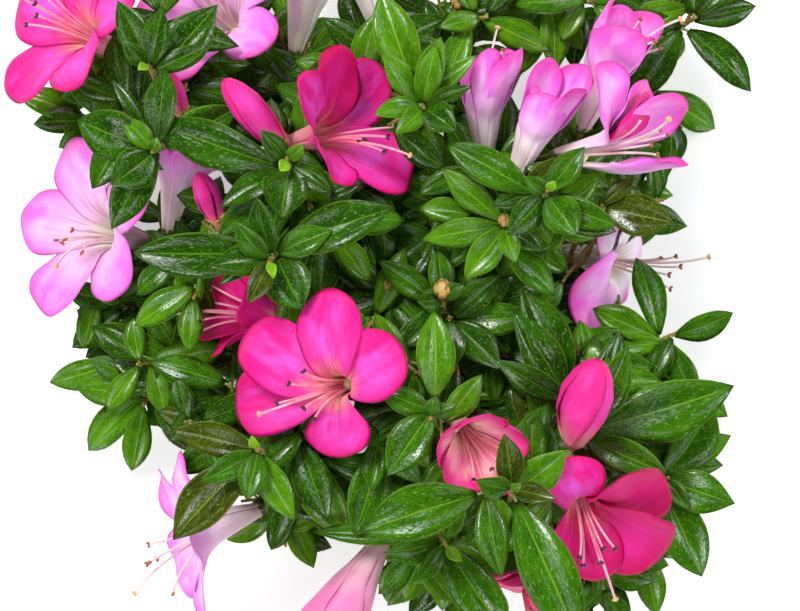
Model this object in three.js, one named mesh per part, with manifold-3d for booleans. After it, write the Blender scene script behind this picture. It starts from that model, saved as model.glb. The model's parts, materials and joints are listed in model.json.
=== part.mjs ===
// A flowering azalea branch, cut and laid down: a woody stem, boughs, leafy masses, blooms and buds.
// Millimetres. The branch lies on the level Z = 0, with its face up and its cut end towards +Y.
import * as THREE from 'three';
import { mergeVertices } from 'three/addons/utils/BufferGeometryUtils.js';
import Module from 'manifold-3d';

const wasm = await Module();
wasm.setup();

// Driving dimensions
const joint = 0.3;             // clearance where two pieces meet
const leastEdge = 0.03;        // shortest edge that a leaf's joint with its twig may have
const margin = 0.2;            // least clearance that a twig or leaf keeps to its neighbours
const stemFoot = 4.5;          // radius of the stem at the cut end
const stemTop = 1.8;           // radius of the stem where it ends in the bottom mass
const boughFoot = 1.9;         // radius of a bough at the stem
const boughTip = 1.2;          // radius of a bough where its mass begins
const twigFoot = 1.0;          // radius of a twig at the mass stem
const twigTip = 0.7;           // radius of a twig in its whorl or under its bloom
const twigSteps = 3;           // straight stretches in a twig
const massStemLength = 7;      // the short stem that a mass's twigs branch from
const leafThickness = 0.55;    // at the midrib
const leafBow = 0.07;          // how far a blade arches up, as a share of its length
const leafFold = 0.12;         // how far the sides rise, as a share of the half width
const leafWidthBase = 3;       // a blade is this wide, plus a share of its reach
const leafWidthShare = 0.27;
const longLeaf = 22;           // a leaf that reaches further has two corners a side, a shorter one has one
const lowWhorl = 16;           // below this height a whorl's leaves bend down until their tips touch Z = 0
const leafSpacing = 1.1;       // from one leaf's root to the next down the twig, the longest lowest
const bloomLeaves = 3;         // leaves on the twig under each bloom, and their reach
const bloomLeafReach = 24;
const goldenAngle = 137.5;     // degrees from one leaf to the next where no bearing is given
const listedLift = 4;          // degrees that a full-grown leaf rises in a listed whorl
const ruleLift = -6;           // and in a whorl by rule
const youngLift = 50;          // degrees more that the youngest leaf of a whorl stands up
const liftSpread = 12;         // degrees of chance in a leaf's rise and in its roll
const rollSpread = 36;
const highestLeaf = 0.8;       // how far below the twig's end its shortest leaf is rooted
const tubeLength = 15;         // from the foot of a bloom's tube to its throat
const tubeFoot = 1.6;          // radius of the tube at its foot
const throatRadius = 5.5;
const tubeFloor = 9;           // height of the lowest point inside the tube
const lobeLength = 27;         // from the throat to a petal's tip
const lobeWidth = 12.5;        // half of the widest part of a petal
const petalThickness = 0.7;
const petalRoot = 0.12;        // how far a petal runs down inside the tube's wall, as a share of it
const petalCup = 0.16;         // how far its edges rise, as a share of the half width
const fifth = 0.68;            // half a petal's width at most, as a share of its edges' distance out
const pedicelLength = 5;
const budPedicel = 4;
const pedicelRadius = 0.7;
const filamentRadius = 0.4;
const tubeSlope = 20;          // degrees from the axis that a petal starts at
const stamenFan = 24;          // degrees round the axis from one stamen to the next
const stamenRise = [15, 21];   // the least and the most that a stamen rises past the throat
const stamenAside = [3, 14];   // the least and the most that it leans to the side it sweeps to
const pistil = { turn: 6, rise: 26, aside: 14 };

// The stem's line from the cut end to its tip
const stemLine = [[52, 130, 14], [42, 92, 20], [26, 55, 26], [12, 18, 30], [4, -18, 32], [2, -46, 31]];

// Each bough leaves the stem at a height along Y and ends where its mass begins
const boughs = {
  top_right: { from: 96, tip: [64, 74, 24] },
  top_left_back: { from: 84, tip: [-26, 66, 14] },
  top_middle: { from: 68, tip: [7, 60, 40] },
  upper_left: { from: 54, tip: [-50, 52, 34] },
  upper_right: { from: 42, tip: [33, 27, 42] },
  right_upper: { from: 28, tip: [44, 12, 22] },
  left_front: { from: 16, tip: [-20, 24, 42] },
  centre: { from: 4, tip: [13, -5, 44] },
  left_heart: { from: -4, tip: [-12, -6, 32] },
  left_back: { from: -13, tip: [-56, -10, 20] },
  right_middle: { from: -20, tip: [38, -24, 40] },
  right_lower: { from: -27, tip: [58, -50, 30] },
  lower_left: { from: -34, tip: [-28, -44, 38] },
  lower_front: { from: -41, tip: [21, -52, 48] },
};

// Blooms: where the throat is, where the tube points, how far the lobes open (degrees from the axis),
// the turn of the petals, the side that the filaments sweep to, and how many of them stand out
const blooms = {
  bloom_centre: { on: 'left_heart', throat: [-16.4, -22.1, 66], axis: [-0.33, -0.08, 0.94], flare: 84,
    spin: 20, sweep: 195, stamens: 3, look: 'deep' },
  bloom_upper: { on: 'left_front', throat: [-23.8, 46.4, 60], axis: [0.7, 0.14, 0.7], flare: 64,
    spin: 30, sweep: 280, stamens: 3, look: 'deep' },
  bloom_behind: { on: 'left_heart', throat: [-36, -3, 48], axis: [-0.85, 0.3, 0.35], flare: 50,
    spin: 40, sweep: 120, stamens: 1, look: 'deep' },
  bloom_pale_left: { on: 'upper_right', throat: [23.5, 52, 53], axis: [-0.05, 0.93, 0.32], flare: 30,
    size: 0.9, spin: 10, sweep: 60, stamens: 1, look: 'pale' },
  bloom_pale_folded: { on: 'upper_right', throat: [36, 46, 65], axis: [0.36, 0.87, 0.3], flare: 12, size: 0.9,
    spin: 50, sweep: 60, stamens: 0, look: 'pale' },
  bloom_pale_top: { on: 'upper_right', throat: [56, 62, 54], axis: [0.33, 0.86, 0.38], flare: 45,
    spin: 0, sweep: -30, stamens: 1, look: 'pale' },
  bloom_pale_right: { on: 'upper_right', throat: [55, 42, 66], axis: [0.86, 0.05, 0.5], flare: 66,
    spin: 20, sweep: 60, stamens: 3, look: 'pale' },
  bloom_white: { on: 'right_upper', throat: [60.5, 12.7, 26], axis: [0.85, -0.25, 0.45], flare: 72,
    spin: 0, sweep: -60, stamens: 3, look: 'pale' },
  bloom_half_open: { on: 'centre', throat: [17.5, -34, 64], axis: [0.3, -0.4, 0.87], flare: 34, size: 0.8,
    spin: 15, sweep: -60, stamens: 1, look: 'deep' },
  bloom_lower_right: { on: 'right_middle', throat: [49, -52, 68], axis: [0.25, -0.75, 0.6], flare: 60,
    spin: 25, sweep: 20, stamens: 3, look: 'deep' },
  bloom_faded: { on: 'right_lower', throat: [39, -72, 50], axis: [-0.3, -0.9, 0.2], flare: 15, size: 0.7,
    spin: 0, sweep: 0, stamens: 1, look: 'deep' },
  bloom_furled: { on: 'bottom', throat: [-10.7, -76, 46], axis: [-0.5, -0.85, 0.15], flare: 9,
    spin: 30, sweep: 0, stamens: 0, look: 'pale' },
  bloom_lilac: { on: 'lower_left', throat: [-52.5, -62.5, 46], axis: [-0.88, -0.3, 0.35], flare: 52,
    spin: 10, sweep: 140, stamens: 3, look: 'pale' },
  bloom_left_top: { on: 'upper_left', throat: [-87, 76, 42], axis: [-0.6, 0.3, 0.7], flare: 70,
    spin: 0, sweep: 60, stamens: 1, look: 'deep' },
  bloom_left_middle: { on: 'left_back', throat: [-84.4, 21, 26], axis: [-0.6, 0.1, 0.75], flare: 70,
    spin: 10, sweep: 200, stamens: 1, look: 'pale' },
  bloom_left_back: { on: 'left_back', throat: [-66, 34, 20], axis: [0.2, 0.95, 0.2], flare: 46, size: 0.9,
    spin: 10, sweep: 60, stamens: 1, look: 'pale' },
  bloom_top_back: { on: 'top_left_back', throat: [-50, 82, 28], axis: [-0.4, 0.35, 0.85], flare: 70,
    size: 0.9, spin: 30, sweep: 100, stamens: 1, look: 'pale' },
  bloom_top_tube: { on: 'top_left_back', throat: [-28, 88, 22], axis: [0.2, 0.96, 0.12], flare: 22,
    spin: 0, sweep: 60, stamens: 1, look: 'pale' },
  bloom_top_edge: { on: 'top_middle', throat: [-8, 88, 48], axis: [-0.25, 0.93, 0.26], flare: 44,
    spin: 20, sweep: 60, stamens: 1, look: 'pale' },
};

// Closed buds, from foot to tip, with their widest radius
const buds = {
  bud_upper: { on: 'left_front', foot: [-31, 42.6, 65], tip: [-48, 61.3, 75], radius: 4.6 },
  bud_right: { on: 'lower_front', foot: [46.4, -38, 74], tip: [53, -14, 82], radius: 7.2 },
  bud_left_top: { on: 'upper_left', foot: [-60, 52, 55], tip: [-64.2, 65, 60], radius: 2.6 },
  bud_left_deep: { on: 'left_front', foot: [-50, 22, 54], tip: [-56, 37, 60], radius: 3.6 },
};

// Whorls of leaves at the twigs' ends. A listed leaf is its bearing in degrees, its reach and,
// where it isn't the usual one, its width. A whorl with a count has that many leaves by rule.
const whorls = {
  heart: { on: 'left_front', end: [-35.3, 11.6, 80], leaves: [[180, 39, 13], [-173, 16, 9], [134, 13],
    [105, 16], [20, 17, 8.5], [19, 34, 13], [-63, 17, 13], [-72, 5, 3], [-117, 13], [-153, 16, 5]] },
  under_bud: { on: 'left_front', end: [-30.6, 39.9, 74], leaves: [[161, 39, 13], [129, 11], [43, 6],
    [-117, 4, 4], [-100, 15, 13], [-149, 22, 8], [-33, 14]] },
  left_top: { on: 'upper_left', end: [-68.4, 65.5, 72], leaves: [[134, 9], [77, 17], [47, 26, 13],
    [25, 17, 6], [113, 22], [-142, 3, 3]] },
  left_fan: { on: 'upper_left', end: [-67.2, 41.6, 73], leaves: [[162, 22, 14], [84, 22, 9],
    [124, 23, 4.5], [130, 12], [-138, 15, 12], [-123, 26, 11], [63, 4, 4], [28, 24, 12]] },
  top_fan: { on: 'top_middle', end: [6.5, 53.7, 71], leaves: [[107, 33, 12], [54, 38, 13], [129, 17],
    [77, 16], [72, 19], [43, 20, 6], [21, 14, 5], [-167, 13], [-38, 11, 9], [-131, 11]] },
  pale_fan: { on: 'upper_right', end: [39.8, 31.1, 77], leaves: [[150, 30, 10], [89, 12, 7.5],
    [58, 3, 3], [50, 17, 8], [-55, 14, 10.5], [151, 7, 5], [-134, 15, 9], [-21, 21, 8]] },
  mid_fan: { on: 'upper_right', end: [28, 21.9, 70], leaves: [[-171, 24, 8], [-130, 19, 9], [-77, 11],
    [140, 24, 8], [72, 3, 3], [-34, 12]] },
  right_long: { on: 'right_upper', end: [55.6, 27.8, 62], leaves: [[-9, 29, 9], [24, 34, 14],
    [-13, 20, 12], [38, 12, 5]] },
  centre_back: { on: 'centre', end: [11.3, 2.1, 64], leaves: [[146, 22, 8], [32, 7], [-176, 7, 7],
    [97, 15, 7.5], [-131, 17]] },
  centre_mid: { on: 'centre', end: [13.6, -3.2, 60], leaves: [[5, 24], [-43, 20, 10], [-90, 15, 9],
    [-166, 15], [43, 19]] },
  centre_low: { on: 'centre', end: [8.3, -30.5, 77], leaves: [[88, 26, 11], [80, 6, 4.5], [159, 16],
    [-126, 22, 12], [26, 7], [-35, 13]] },
  low_left: { on: 'lower_left', end: [-38.5, -38.7, 76], leaves: [[164, 24], [-134, 34, 14], [-152, 17],
    [-102, 13, 8], [113, 4, 3], [-65, 21]] },
  under_heart: { on: 'lower_left', end: [-27.8, -36.2, 58], leaves: [[-71, 24, 11], [-66, 33, 13],
    [-103, 30, 9]] },
  front_star: { on: 'lower_front', end: [29.7, -48, 88], leaves: [[100, 16, 8], [37, 18, 10], [-10, 11],
    [166, 10, 7], [-64, 43, 15], [51, 3, 3]] },
  long_low: { on: 'lower_front', end: [23, -49.9, 78], leaves: [[-162, 35, 15], [-80, 23, 9]] },
  right_fan: { on: 'right_middle', end: [50.2, -36.3, 64], leaves: [[18, 45, 17], [-23, 25], [60, 27],
    [119, 24]] },
  up_fan: { on: 'right_middle', end: [48, -26.8, 58], leaves: [[110, 34, 13], [124, 29, 11],
    [64, 31, 12], [29, 24], [154, 24, 8]] },
  far_right_fan: { on: 'right_lower', end: [74.7, -48, 56], leaves: [[55, 26, 14], [-64, 30, 13],
    [-52, 10], [160, 8], [-17, 21, 12], [-122, 20]] },
  fork_down: { on: 'bottom', end: [13, -66.8, 58], leaves: [[-128, 12], [-45, 6, 4], [-55, 33, 14],
    [-170, 16, 9], [179, 36, 7], [63, 14]] },
  stem_down: { on: 'bottom', end: [-6.1, -35, 58], leaves: [[-104, 28, 12], [-49, 18], [-96, 16]] },
  left_deep: { on: 'left_back', end: [-62.9, -16.3, 36], count: 6, reach: 24 },
  left_edge: { on: 'left_back', end: [-83.6, 1.6, 28], count: 6, reach: 22 },
  left_low: { on: 'left_back', end: [-75, -28.7, 26], count: 6, reach: 26 },
  left_ground: { on: 'left_back', end: [-66, 8, 12], count: 5, reach: 24 },
  heart_deep: { on: 'left_heart', end: [-24, 8, 50], count: 5, reach: 22 },
  heart_under: { on: 'left_heart', end: [-32, -20, 36], count: 5, reach: 26 },
  left_front_back: { on: 'left_front', end: [-8, 32, 52], count: 6, reach: 22 },
  upper_left_deep: { on: 'upper_left', end: [-78, 58, 48], count: 5, reach: 24 },
  upper_left_low: { on: 'upper_left', end: [-86, 46, 30], count: 5, reach: 24 },
  upper_left_back: { on: 'upper_left', end: [-68, 84, 44], count: 5, reach: 22 },
  hang_low: { on: 'lower_left', end: [-34, -62, 24], count: 5, reach: 20 },
  lower_left_deep: { on: 'lower_left', end: [-48, -34, 48], count: 5, reach: 24 },
  bottom_deep: { on: 'bottom', end: [16, -74, 34], count: 5, reach: 24 },
  bottom_ground: { on: 'bottom', end: [4, -66, 12], count: 5, reach: 24 },
  centre_deep: { on: 'centre', end: [26, -12, 50], count: 5, reach: 22 },
  centre_left: { on: 'centre', end: [-4, 4, 58], count: 5, reach: 20 },
  right_deep: { on: 'right_middle', end: [62, -16, 42], count: 6, reach: 26 },
  right_back: { on: 'right_middle', end: [78, -8, 46], count: 5, reach: 22 },
  right_ground: { on: 'right_lower', end: [72, -40, 14], count: 5, reach: 26 },
  right_lower_deep: { on: 'right_lower', end: [60, -70, 34], count: 6, reach: 26 },
  right_under: { on: 'right_upper', end: [54, -4, 18], count: 5, reach: 26 },
  right_upper_back: { on: 'right_upper', end: [70, 30, 34], count: 5, reach: 24 },
  upper_right_deep: { on: 'upper_right', end: [18, 38, 48], count: 5, reach: 22 },
  top_right_edge: { on: 'top_right', end: [84, 82, 44], count: 6, reach: 24 },
  top_right_back: { on: 'top_right', end: [42, 88, 44], count: 6, reach: 26 },
  top_right_ground: { on: 'top_right', end: [76, 62, 14], count: 5, reach: 26 },
  top_middle_back: { on: 'top_middle', end: [16, 84, 46], count: 5, reach: 26 },
  top_middle_left: { on: 'top_middle', end: [-14, 64, 50], count: 5, reach: 20 },
  top_left_ground: { on: 'top_left_back', end: [-56, 66, 14], count: 5, reach: 24 },
  centre_up: { on: 'centre', end: [6, 22, 46], count: 5, reach: 24 },
  left_middle: { on: 'left_front', end: [-58, 2, 52], count: 5, reach: 22 },
};

// Trial bends of a twig or bough, sideways and up, and trial lifts of a leaf in degrees
const sideBends = [0, 5, -5, 10, -10, 15, -15];
const upBends = [0, -6, 6, 12];
const liftTrials = [0, 8, -8, 16, -16, 24, -24, 34];

const up = new THREE.Vector3(0, 0, 1);
const degrees = THREE.MathUtils.degToRad;
const point = (place) => new THREE.Vector3(...place);

// Seeded random numbers between 0 and 1, the same on every run
function seeded(seed) {
  let state = 1000 + 7919 * seed;
  const next = () => {
    state = (state * 16807) % 2147483647;
    return state / 2147483647;
  };
  next();
  next();
  return next;
}

// A closed solid from a geometry, with each vertex moved by a rule first
function solid(geometry, rule) {
  const place = geometry.attributes.position;
  for (let i = 0; i < place.count; i += 1) {
    const to = rule(place.getX(i), place.getY(i), place.getZ(i));
    place.setXYZ(i, to.x, to.y, Math.max(to.z, 0));
  }
  geometry.deleteAttribute('normal');
  geometry.deleteAttribute('uv');
  const merged = mergeVertices(geometry, 1e-3);
  const corners = merged.attributes.position.array;
  const index = Array.from(merged.index.array);
  const kept = [];
  for (let i = 0; i < index.length; i += 3) {
    const [a, b, c] = index.slice(i, i + 3);
    if (a !== b && b !== c && c !== a) kept.push(a, b, c);
  }
  const build = (faces) => new wasm.Manifold(new wasm.Mesh({
    numProp: 3, vertProperties: new Float32Array(corners), triVerts: new Uint32Array(faces),
  }));
  const made = build(kept);
  if (made.volume() > 0) return made;
  const turned = [];
  for (let i = 0; i < kept.length; i += 3) turned.push(kept[i], kept[i + 2], kept[i + 1]);
  return build(turned);
}

// The largest connected piece of a solid, with loose scraps and sealed hollows gone
function whole(made) {
  return made.decompose().reduce((best, part) => (part.volume() > best.volume() ? part : best));
}

// A rod of a few sides that follows a curve and tapers
function limb(curve, footRadius, tipRadius, sides, steps) {
  const chord = curve.getPoint(1).sub(curve.getPoint(0));
  const level = chord.clone().cross(up);
  if (level.length() < 0.2 * chord.length()) level.set(1, 0, 0);
  return solid(new THREE.CylinderGeometry(1, 1, 1, sides, steps), (x, y, z) => {
    const t = THREE.MathUtils.clamp(y + 0.5, 0, 1);
    const along = curve.getTangent(t);
    const side = level.clone().addScaledVector(along, -level.dot(along)).normalize();
    const other = side.clone().cross(along);
    const radius = THREE.MathUtils.lerp(footRadius, tipRadius, t);
    return curve.getPoint(t).addScaledVector(side, x * radius).addScaledVector(other, z * radius);
  });
}

// A smooth way from one point and direction to another, with its middle pushed aside and up
function way(start, startWay, end, endWay, sideBend, upBend) {
  const reach = start.distanceTo(end) * 0.36;
  const chord = end.clone().sub(start);
  const aside = chord.clone().cross(up);
  if (aside.length() < 0.2 * chord.length()) aside.set(1, 0, 0);
  const push = aside.normalize().multiplyScalar(sideBend).addScaledVector(up, upBend);
  return new THREE.CubicBezierCurve3(start, start.clone().addScaledVector(startWay, reach).add(push),
    end.clone().addScaledVector(endWay, -reach).addScaledVector(push, 0.5), end);
}

// Solids that are already in place, each with the node that owns it
const taken = [];
function claim(owner, made) {
  const entry = { owner, made, box: made.boundingBox() };
  taken.push(entry);
  return entry;
}
function apart(a, b) {
  return [0, 1, 2].some((k) => a.max[k] < b.min[k] || b.max[k] < a.min[k]);
}

// The length of a solid's shortest edge: a joint of two pieces that grazes has a tiny one
function shortestEdge(made) {
  const { vertProperties: at, triVerts: faces } = made.getMesh();
  const corner = (i) => new THREE.Vector3().fromArray(at, 3 * faces[i]);
  let least = Infinity;
  for (let i = 0; i < faces.length; i += 1) {
    least = Math.min(least, corner(i).distanceTo(corner(i % 3 === 2 ? i - 2 : i + 1)));
  }
  return least;
}

// The first solid in place, among those that count, that a new one would cut into
function blocker(made, counts) {
  const box = made.boundingBox();
  return taken.find((entry) => counts(entry) && !apart(box, entry.box)
    && !made.intersect(entry.made).isEmpty());
}

// The three directions of a bloom or bud: along its axis, and two across it
function axes(direction) {
  const along = direction.clone().normalize();
  const guide = Math.abs(along.x) < 0.6 ? new THREE.Vector3(1, 0, 0) : new THREE.Vector3(0, 1, 0);
  const first = guide.addScaledVector(along, -guide.dot(along)).normalize();
  return { along, first, second: along.clone().cross(first) };
}

// Half the width of a petal at a share of the way from the throat to its tip
function lobeHalfWidth(share) {
  const widest = 0.6;
  const foot = throatRadius * 0.74;
  if (share < widest) return foot + (lobeWidth - foot) * Math.sin(Math.max(share, 0) / widest * Math.PI / 2);
  return lobeWidth * Math.sqrt(Math.max(1 - ((share - widest) / (1 - widest)) ** 2, 0));
}

// The middle line of a petal: its distance from the axis, its height and its slope
function lobeLine(flare, share) {
  const startSlope = degrees(tubeSlope);
  const steps = 16;
  let out = throatRadius * Math.cos(degrees(36)) - petalThickness / 2;
  let rise = 0;
  let slope = startSlope;
  for (let i = 0; i < steps; i += 1) {
    slope = startSlope + (degrees(flare) - startSlope) * Math.min((i + 0.5) / steps * share * 1.7, 1);
    out += Math.sin(slope) * lobeLength * share / steps;
    rise += Math.cos(slope) * lobeLength * share / steps;
  }
  return { out, rise, slope };
}

// A thin blade: a lens on a rim of a few points. The rule gives the place of a share along it,
// a share across it and a height off its face.
function blade(rim, rule) {
  return solid(new THREE.SphereGeometry(1, rim, 2), (x, y, z) => {
    const share = 0.5 + 0.5 * x * (0.62 + 0.38 * x * x);
    return rule(share, z / 0.866, y / 2);
  });
}

// A petal: rooted in a flat of the tube, cupped across, no wider than its fifth of the circle
function petal(frame, foot, size, flare, turn, long) {
  const radial = frame.first.clone().multiplyScalar(Math.cos(turn))
    .addScaledVector(frame.second, Math.sin(turn));
  const tangent = frame.along.clone().cross(radial);
  return blade(6, (share, across, face) => {
    const reach = share * (1 + petalRoot) - petalRoot;
    const line = lobeLine(flare, reach);
    const room = line.out * fifth / (1 + fifth * petalCup * Math.cos(line.slope));
    const half = Math.min(lobeHalfWidth(reach), room);
    const inward = frame.along.clone().multiplyScalar(Math.sin(line.slope))
      .addScaledVector(radial, -Math.cos(line.slope));
    const lift = half * petalCup * across * across + face * petalThickness;
    return foot.clone().addScaledVector(frame.along, (tubeLength + line.rise * long) * size)
      .addScaledVector(radial, line.out * size)
      .addScaledVector(tangent, half * across * size)
      .addScaledVector(inward, lift * size);
  });
}

// One filament from inside the tube, out of the throat and round to the side it sweeps to
function filament(frame, foot, size, sweep, rise, aside) {
  const side = frame.first.clone().multiplyScalar(Math.cos(sweep))
    .addScaledVector(frame.second, Math.sin(sweep));
  const at = (height, out) => foot.clone().addScaledVector(frame.along, height * size)
    .addScaledVector(side, out * size);
  return limb(new THREE.QuadraticBezierCurve3(at(tubeFloor - 1.5, 1.4),
    at(tubeLength + rise * 0.6, aside * 0.1 + 1), at(tubeLength + rise, aside)),
  filamentRadius, filamentRadius, 3, 2);
}

// The rise and the sideways reach of each filament: five stamens by chance, then the pistil
function filaments(random, sweep) {
  const list = [];
  for (let i = 0; i < 5; i += 1) {
    const rise = THREE.MathUtils.lerp(...stamenRise, random());
    const aside = THREE.MathUtils.lerp(...stamenAside, random());
    list.push([degrees(sweep + (i - 2) * stamenFan), rise, aside]);
  }
  return [...list, [degrees(sweep + pistil.turn), pistil.rise, pistil.aside]];
}

// A turned solid about a bloom's or bud's axis, from its profile of radius and height
function turned(profile, sides, spin, frame, foot, size) {
  const round = new THREE.LatheGeometry(profile.map(([r, h]) => new THREE.Vector2(r, h)), sides);
  const first = frame.first.clone().multiplyScalar(Math.cos(spin))
    .addScaledVector(frame.second, Math.sin(spin));
  const second = frame.along.clone().cross(first);
  return solid(round, (x, y, z) => foot.clone().addScaledVector(first, z * size)
    .addScaledVector(frame.along, y * size).addScaledVector(second, x * size));
}

// A bloom: a funnel tube on its pedicel, five petals, and the filaments that stand out of it
function bloom(spec, seed) {
  const random = seeded(seed);
  const size = spec.size ?? 1;
  const frame = axes(point(spec.axis));
  const foot = point(spec.throat).addScaledVector(frame.along, -tubeLength * size);
  const profile = [[0, -pedicelLength], [pedicelRadius, -pedicelLength], [pedicelRadius, -0.6],
    [tubeFoot, 0.4], [throatRadius, tubeLength], [throatRadius - petalThickness, tubeLength], [0, tubeFloor]];
  const parts = [turned(profile, 5, degrees(spec.spin + 36), frame, foot, size)];
  for (let i = 0; i < 5; i += 1) {
    const flare = spec.flare + 12 * (random() - 0.5);
    const long = 1 + 0.1 * (random() - 0.5);
    parts.push(petal(frame, foot, size, flare, degrees(spec.spin + 72 * i), long));
  }
  const all = filaments(random, spec.sweep);
  const shown = [all[5], all[0], all[4]].slice(0, spec.stamens);
  shown.forEach(([turn, rise, aside]) => parts.push(filament(frame, foot, size, turn, rise, aside)));
  const end = foot.clone().addScaledVector(frame.along, -(pedicelLength * size + joint));
  return { made: whole(wasm.Manifold.union(parts)), end, endWay: frame.along };
}

// A bud: a closed spindle, widest a little below its middle
function bud(spec) {
  const foot = point(spec.foot);
  const frame = axes(point(spec.tip).sub(foot));
  const long = point(spec.tip).distanceTo(foot);
  const profile = [[0, -budPedicel], [pedicelRadius, -budPedicel], [pedicelRadius, -0.6]];
  [[0.02, 0.3], [0.2, 0.74], [0.42, 1], [0.66, 0.84], [0.88, 0.4]].forEach(([share, wide]) => {
    profile.push([spec.radius * wide, long * share]);
  });
  profile.push([0, long]);
  const end = foot.clone().addScaledVector(frame.along, -(budPedicel + joint));
  return { made: turned(profile, 6, 0, frame, foot, 1), end, endWay: frame.along };
}

// A leaf: arched along its length and folded up at its sides.
// Extra thickness is only for testing that it keeps clear of its neighbours.
function leaf(root, bearing, lift, roll, reach, wide, extra) {
  const long = lift > 0 ? reach / Math.cos(lift) : reach;
  const flat = new THREE.Vector3(Math.cos(bearing), Math.sin(bearing), 0);
  const along = flat.multiplyScalar(Math.cos(lift)).addScaledVector(up, Math.sin(lift));
  const level = up.clone().cross(along).normalize();
  const side = level.clone().multiplyScalar(Math.cos(roll))
    .addScaledVector(along.clone().cross(level), Math.sin(roll));
  const face = along.clone().cross(side);
  return blade(reach > longLeaf ? 6 : 4, (share, across, off) => {
    const half = across * (wide / 2 + extra);
    const rise = long * leafBow * Math.sin(Math.PI * share) + Math.abs(half) * leafFold;
    return root.clone().addScaledVector(along, long * share).addScaledVector(side, half)
      .addScaledVector(face, rise + off * (leafThickness + 2 * extra));
  });
}

// The bearing, reach and width of each leaf of a whorl, listed or by rule
function leavesOf(whorl, random) {
  if (whorl.leaves) {
    return whorl.leaves.map(([bearing, reach, wide]) => [bearing, reach,
      wide ?? leafWidthBase + leafWidthShare * reach]);
  }
  const start = 360 * random();
  return Array.from({ length: whorl.count }, (_, i) => {
    const reach = whorl.reach * (0.7 + 0.45 * random());
    return [start + goldenAngle * i, reach, leafWidthBase + leafWidthShare * reach];
  });
}

// Colours of the pieces
const finish = {
  bark: { color: 0x6f5a3c, roughness: 0.85 },
  leaf: { color: 0x3c7a1e, roughness: 0.45 },
  deep: { color: 0xf0148a, roughness: 0.5 },
  pale: { color: 0xf5b4e0, roughness: 0.5 },
};

const branch = new THREE.Group();
function addMesh(name, made, look) {
  const mesh = made.getMesh();
  const geometry = new THREE.BufferGeometry();
  geometry.setAttribute('position', new THREE.BufferAttribute(mesh.vertProperties, 3));
  geometry.setIndex(new THREE.BufferAttribute(mesh.triVerts, 1));
  geometry.computeVertexNormals();
  const piece = new THREE.Mesh(geometry, new THREE.MeshStandardMaterial({ ...look, metalness: 0 }));
  piece.name = name;
  branch.add(piece);
}

// Puts a piece in its place as a node of its own, where nothing else may be yet
function addPiece(name, made, look) {
  const other = blocker(made, () => true);
  if (other) throw new Error(`${name} cuts into ${other.owner}`);
  addMesh(name, made, look);
  return claim(name, made);
}

// Stem
const stemCurve = new THREE.CatmullRomCurve3(stemLine.map(point), false, 'centripetal');
const stemOf = (extra) => limb(stemCurve, stemFoot + extra, stemTop + extra, 8, 12);
const stemClear = stemOf(joint);
addPiece('main_stem', stemOf(0), finish.bark);

// Blooms and buds take their places first. Their ends are where the twigs that carry them stop.
const twigsOf = Object.fromEntries(['bottom', ...Object.keys(boughs)].map((mass) => [mass, []]));
Object.entries(blooms).forEach(([name, spec], i) => {
  const { made, end, endWay } = bloom(spec, i + 1);
  addPiece(name, made, finish[spec.look]);
  twigsOf[spec.on].push({ end, endWay, whorl: { name, count: bloomLeaves, reach: bloomLeafReach } });
});
Object.entries(buds).forEach(([name, spec]) => {
  const { made, end, endWay } = bud(spec);
  addPiece(name, made, finish.deep);
  twigsOf[spec.on].push({ end, endWay, whorl: null });
});

// The first trial way, from a start to an end, that keeps clear of every other node
function clearWay(owner, start, startWay, end, endWay, make) {
  for (const upBend of upBends) {
    for (const sideBend of sideBends) {
      const curve = way(start, startWay, end, endWay, sideBend, upBend);
      if (!blocker(make(curve, margin), (entry) => entry.owner !== owner)) return curve;
    }
  }
  throw new Error(`${owner} finds no way to ${end.toArray()}`);
}

// Boughs leave the stem's surface and end where their masses begin
const massStarts = {
  bottom: { start: stemCurve.getPoint(1), startWay: stemCurve.getTangent(1) },
};
const stemPoints = stemCurve.getPoints(400);
Object.entries(boughs).forEach(([mass, { from, tip }]) => {
  const name = `bough_${mass}`;
  const foot = stemPoints.reduce((a, b) => (Math.abs(a.y - from) < Math.abs(b.y - from) ? a : b));
  const end = point(tip);
  const startWay = end.clone().sub(foot).normalize();
  const endWay = startWay.clone().addScaledVector(up, 0.35).normalize();
  const make = (curve, extra) => whole(limb(curve, boughFoot + extra, boughTip + extra, 5, 6)
    .subtract(stemClear));
  addPiece(name, make(clearWay(name, foot, startWay, end, endWay, make), 0), finish.bark);
  massStarts[mass] = { start: end, startWay: endWay };
});

// Each mass has a short stem, just clear of its bough, that its twigs branch from
const massStems = {};
Object.entries(massStarts).forEach(([mass, { start, startWay }]) => {
  const from = start.clone().addScaledVector(startWay, joint);
  const to = from.clone().addScaledVector(startWay, massStemLength);
  const made = limb(new THREE.LineCurve3(from, to), boughTip, boughTip, 5, 1);
  massStems[mass] = { from, to, entry: claim(`leaves_${mass}`, made) };
});

// Twigs of every mass come before any leaf
Object.entries(whorls).forEach(([name, whorl]) => {
  const end = point(whorl.end);
  const endWay = end.clone().sub(massStarts[whorl.on].start).normalize().addScaledVector(up, 0.9);
  twigsOf[whorl.on].push({ end, endWay: endWay.normalize(), whorl: { name, ...whorl } });
});
Object.entries(massStems).forEach(([mass, { from, to }]) => {
  const owner = `leaves_${mass}`;
  const make = (curve, extra) => limb(curve, twigFoot + extra, twigTip + extra, 3, twigSteps);
  twigsOf[mass].forEach((twig, i) => {
    const root = from.clone().lerp(to, 0.25 + 0.65 * (i + 0.5) / twigsOf[mass].length);
    const startWay = massStarts[mass].startWay.clone()
      .addScaledVector(twig.end.clone().sub(root).normalize(), 1.2).normalize();
    twig.curve = clearWay(owner, root, startWay, twig.end, twig.endWay, make);
    twig.entry = claim(owner, make(twig.curve, 0));
  });
});

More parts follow.
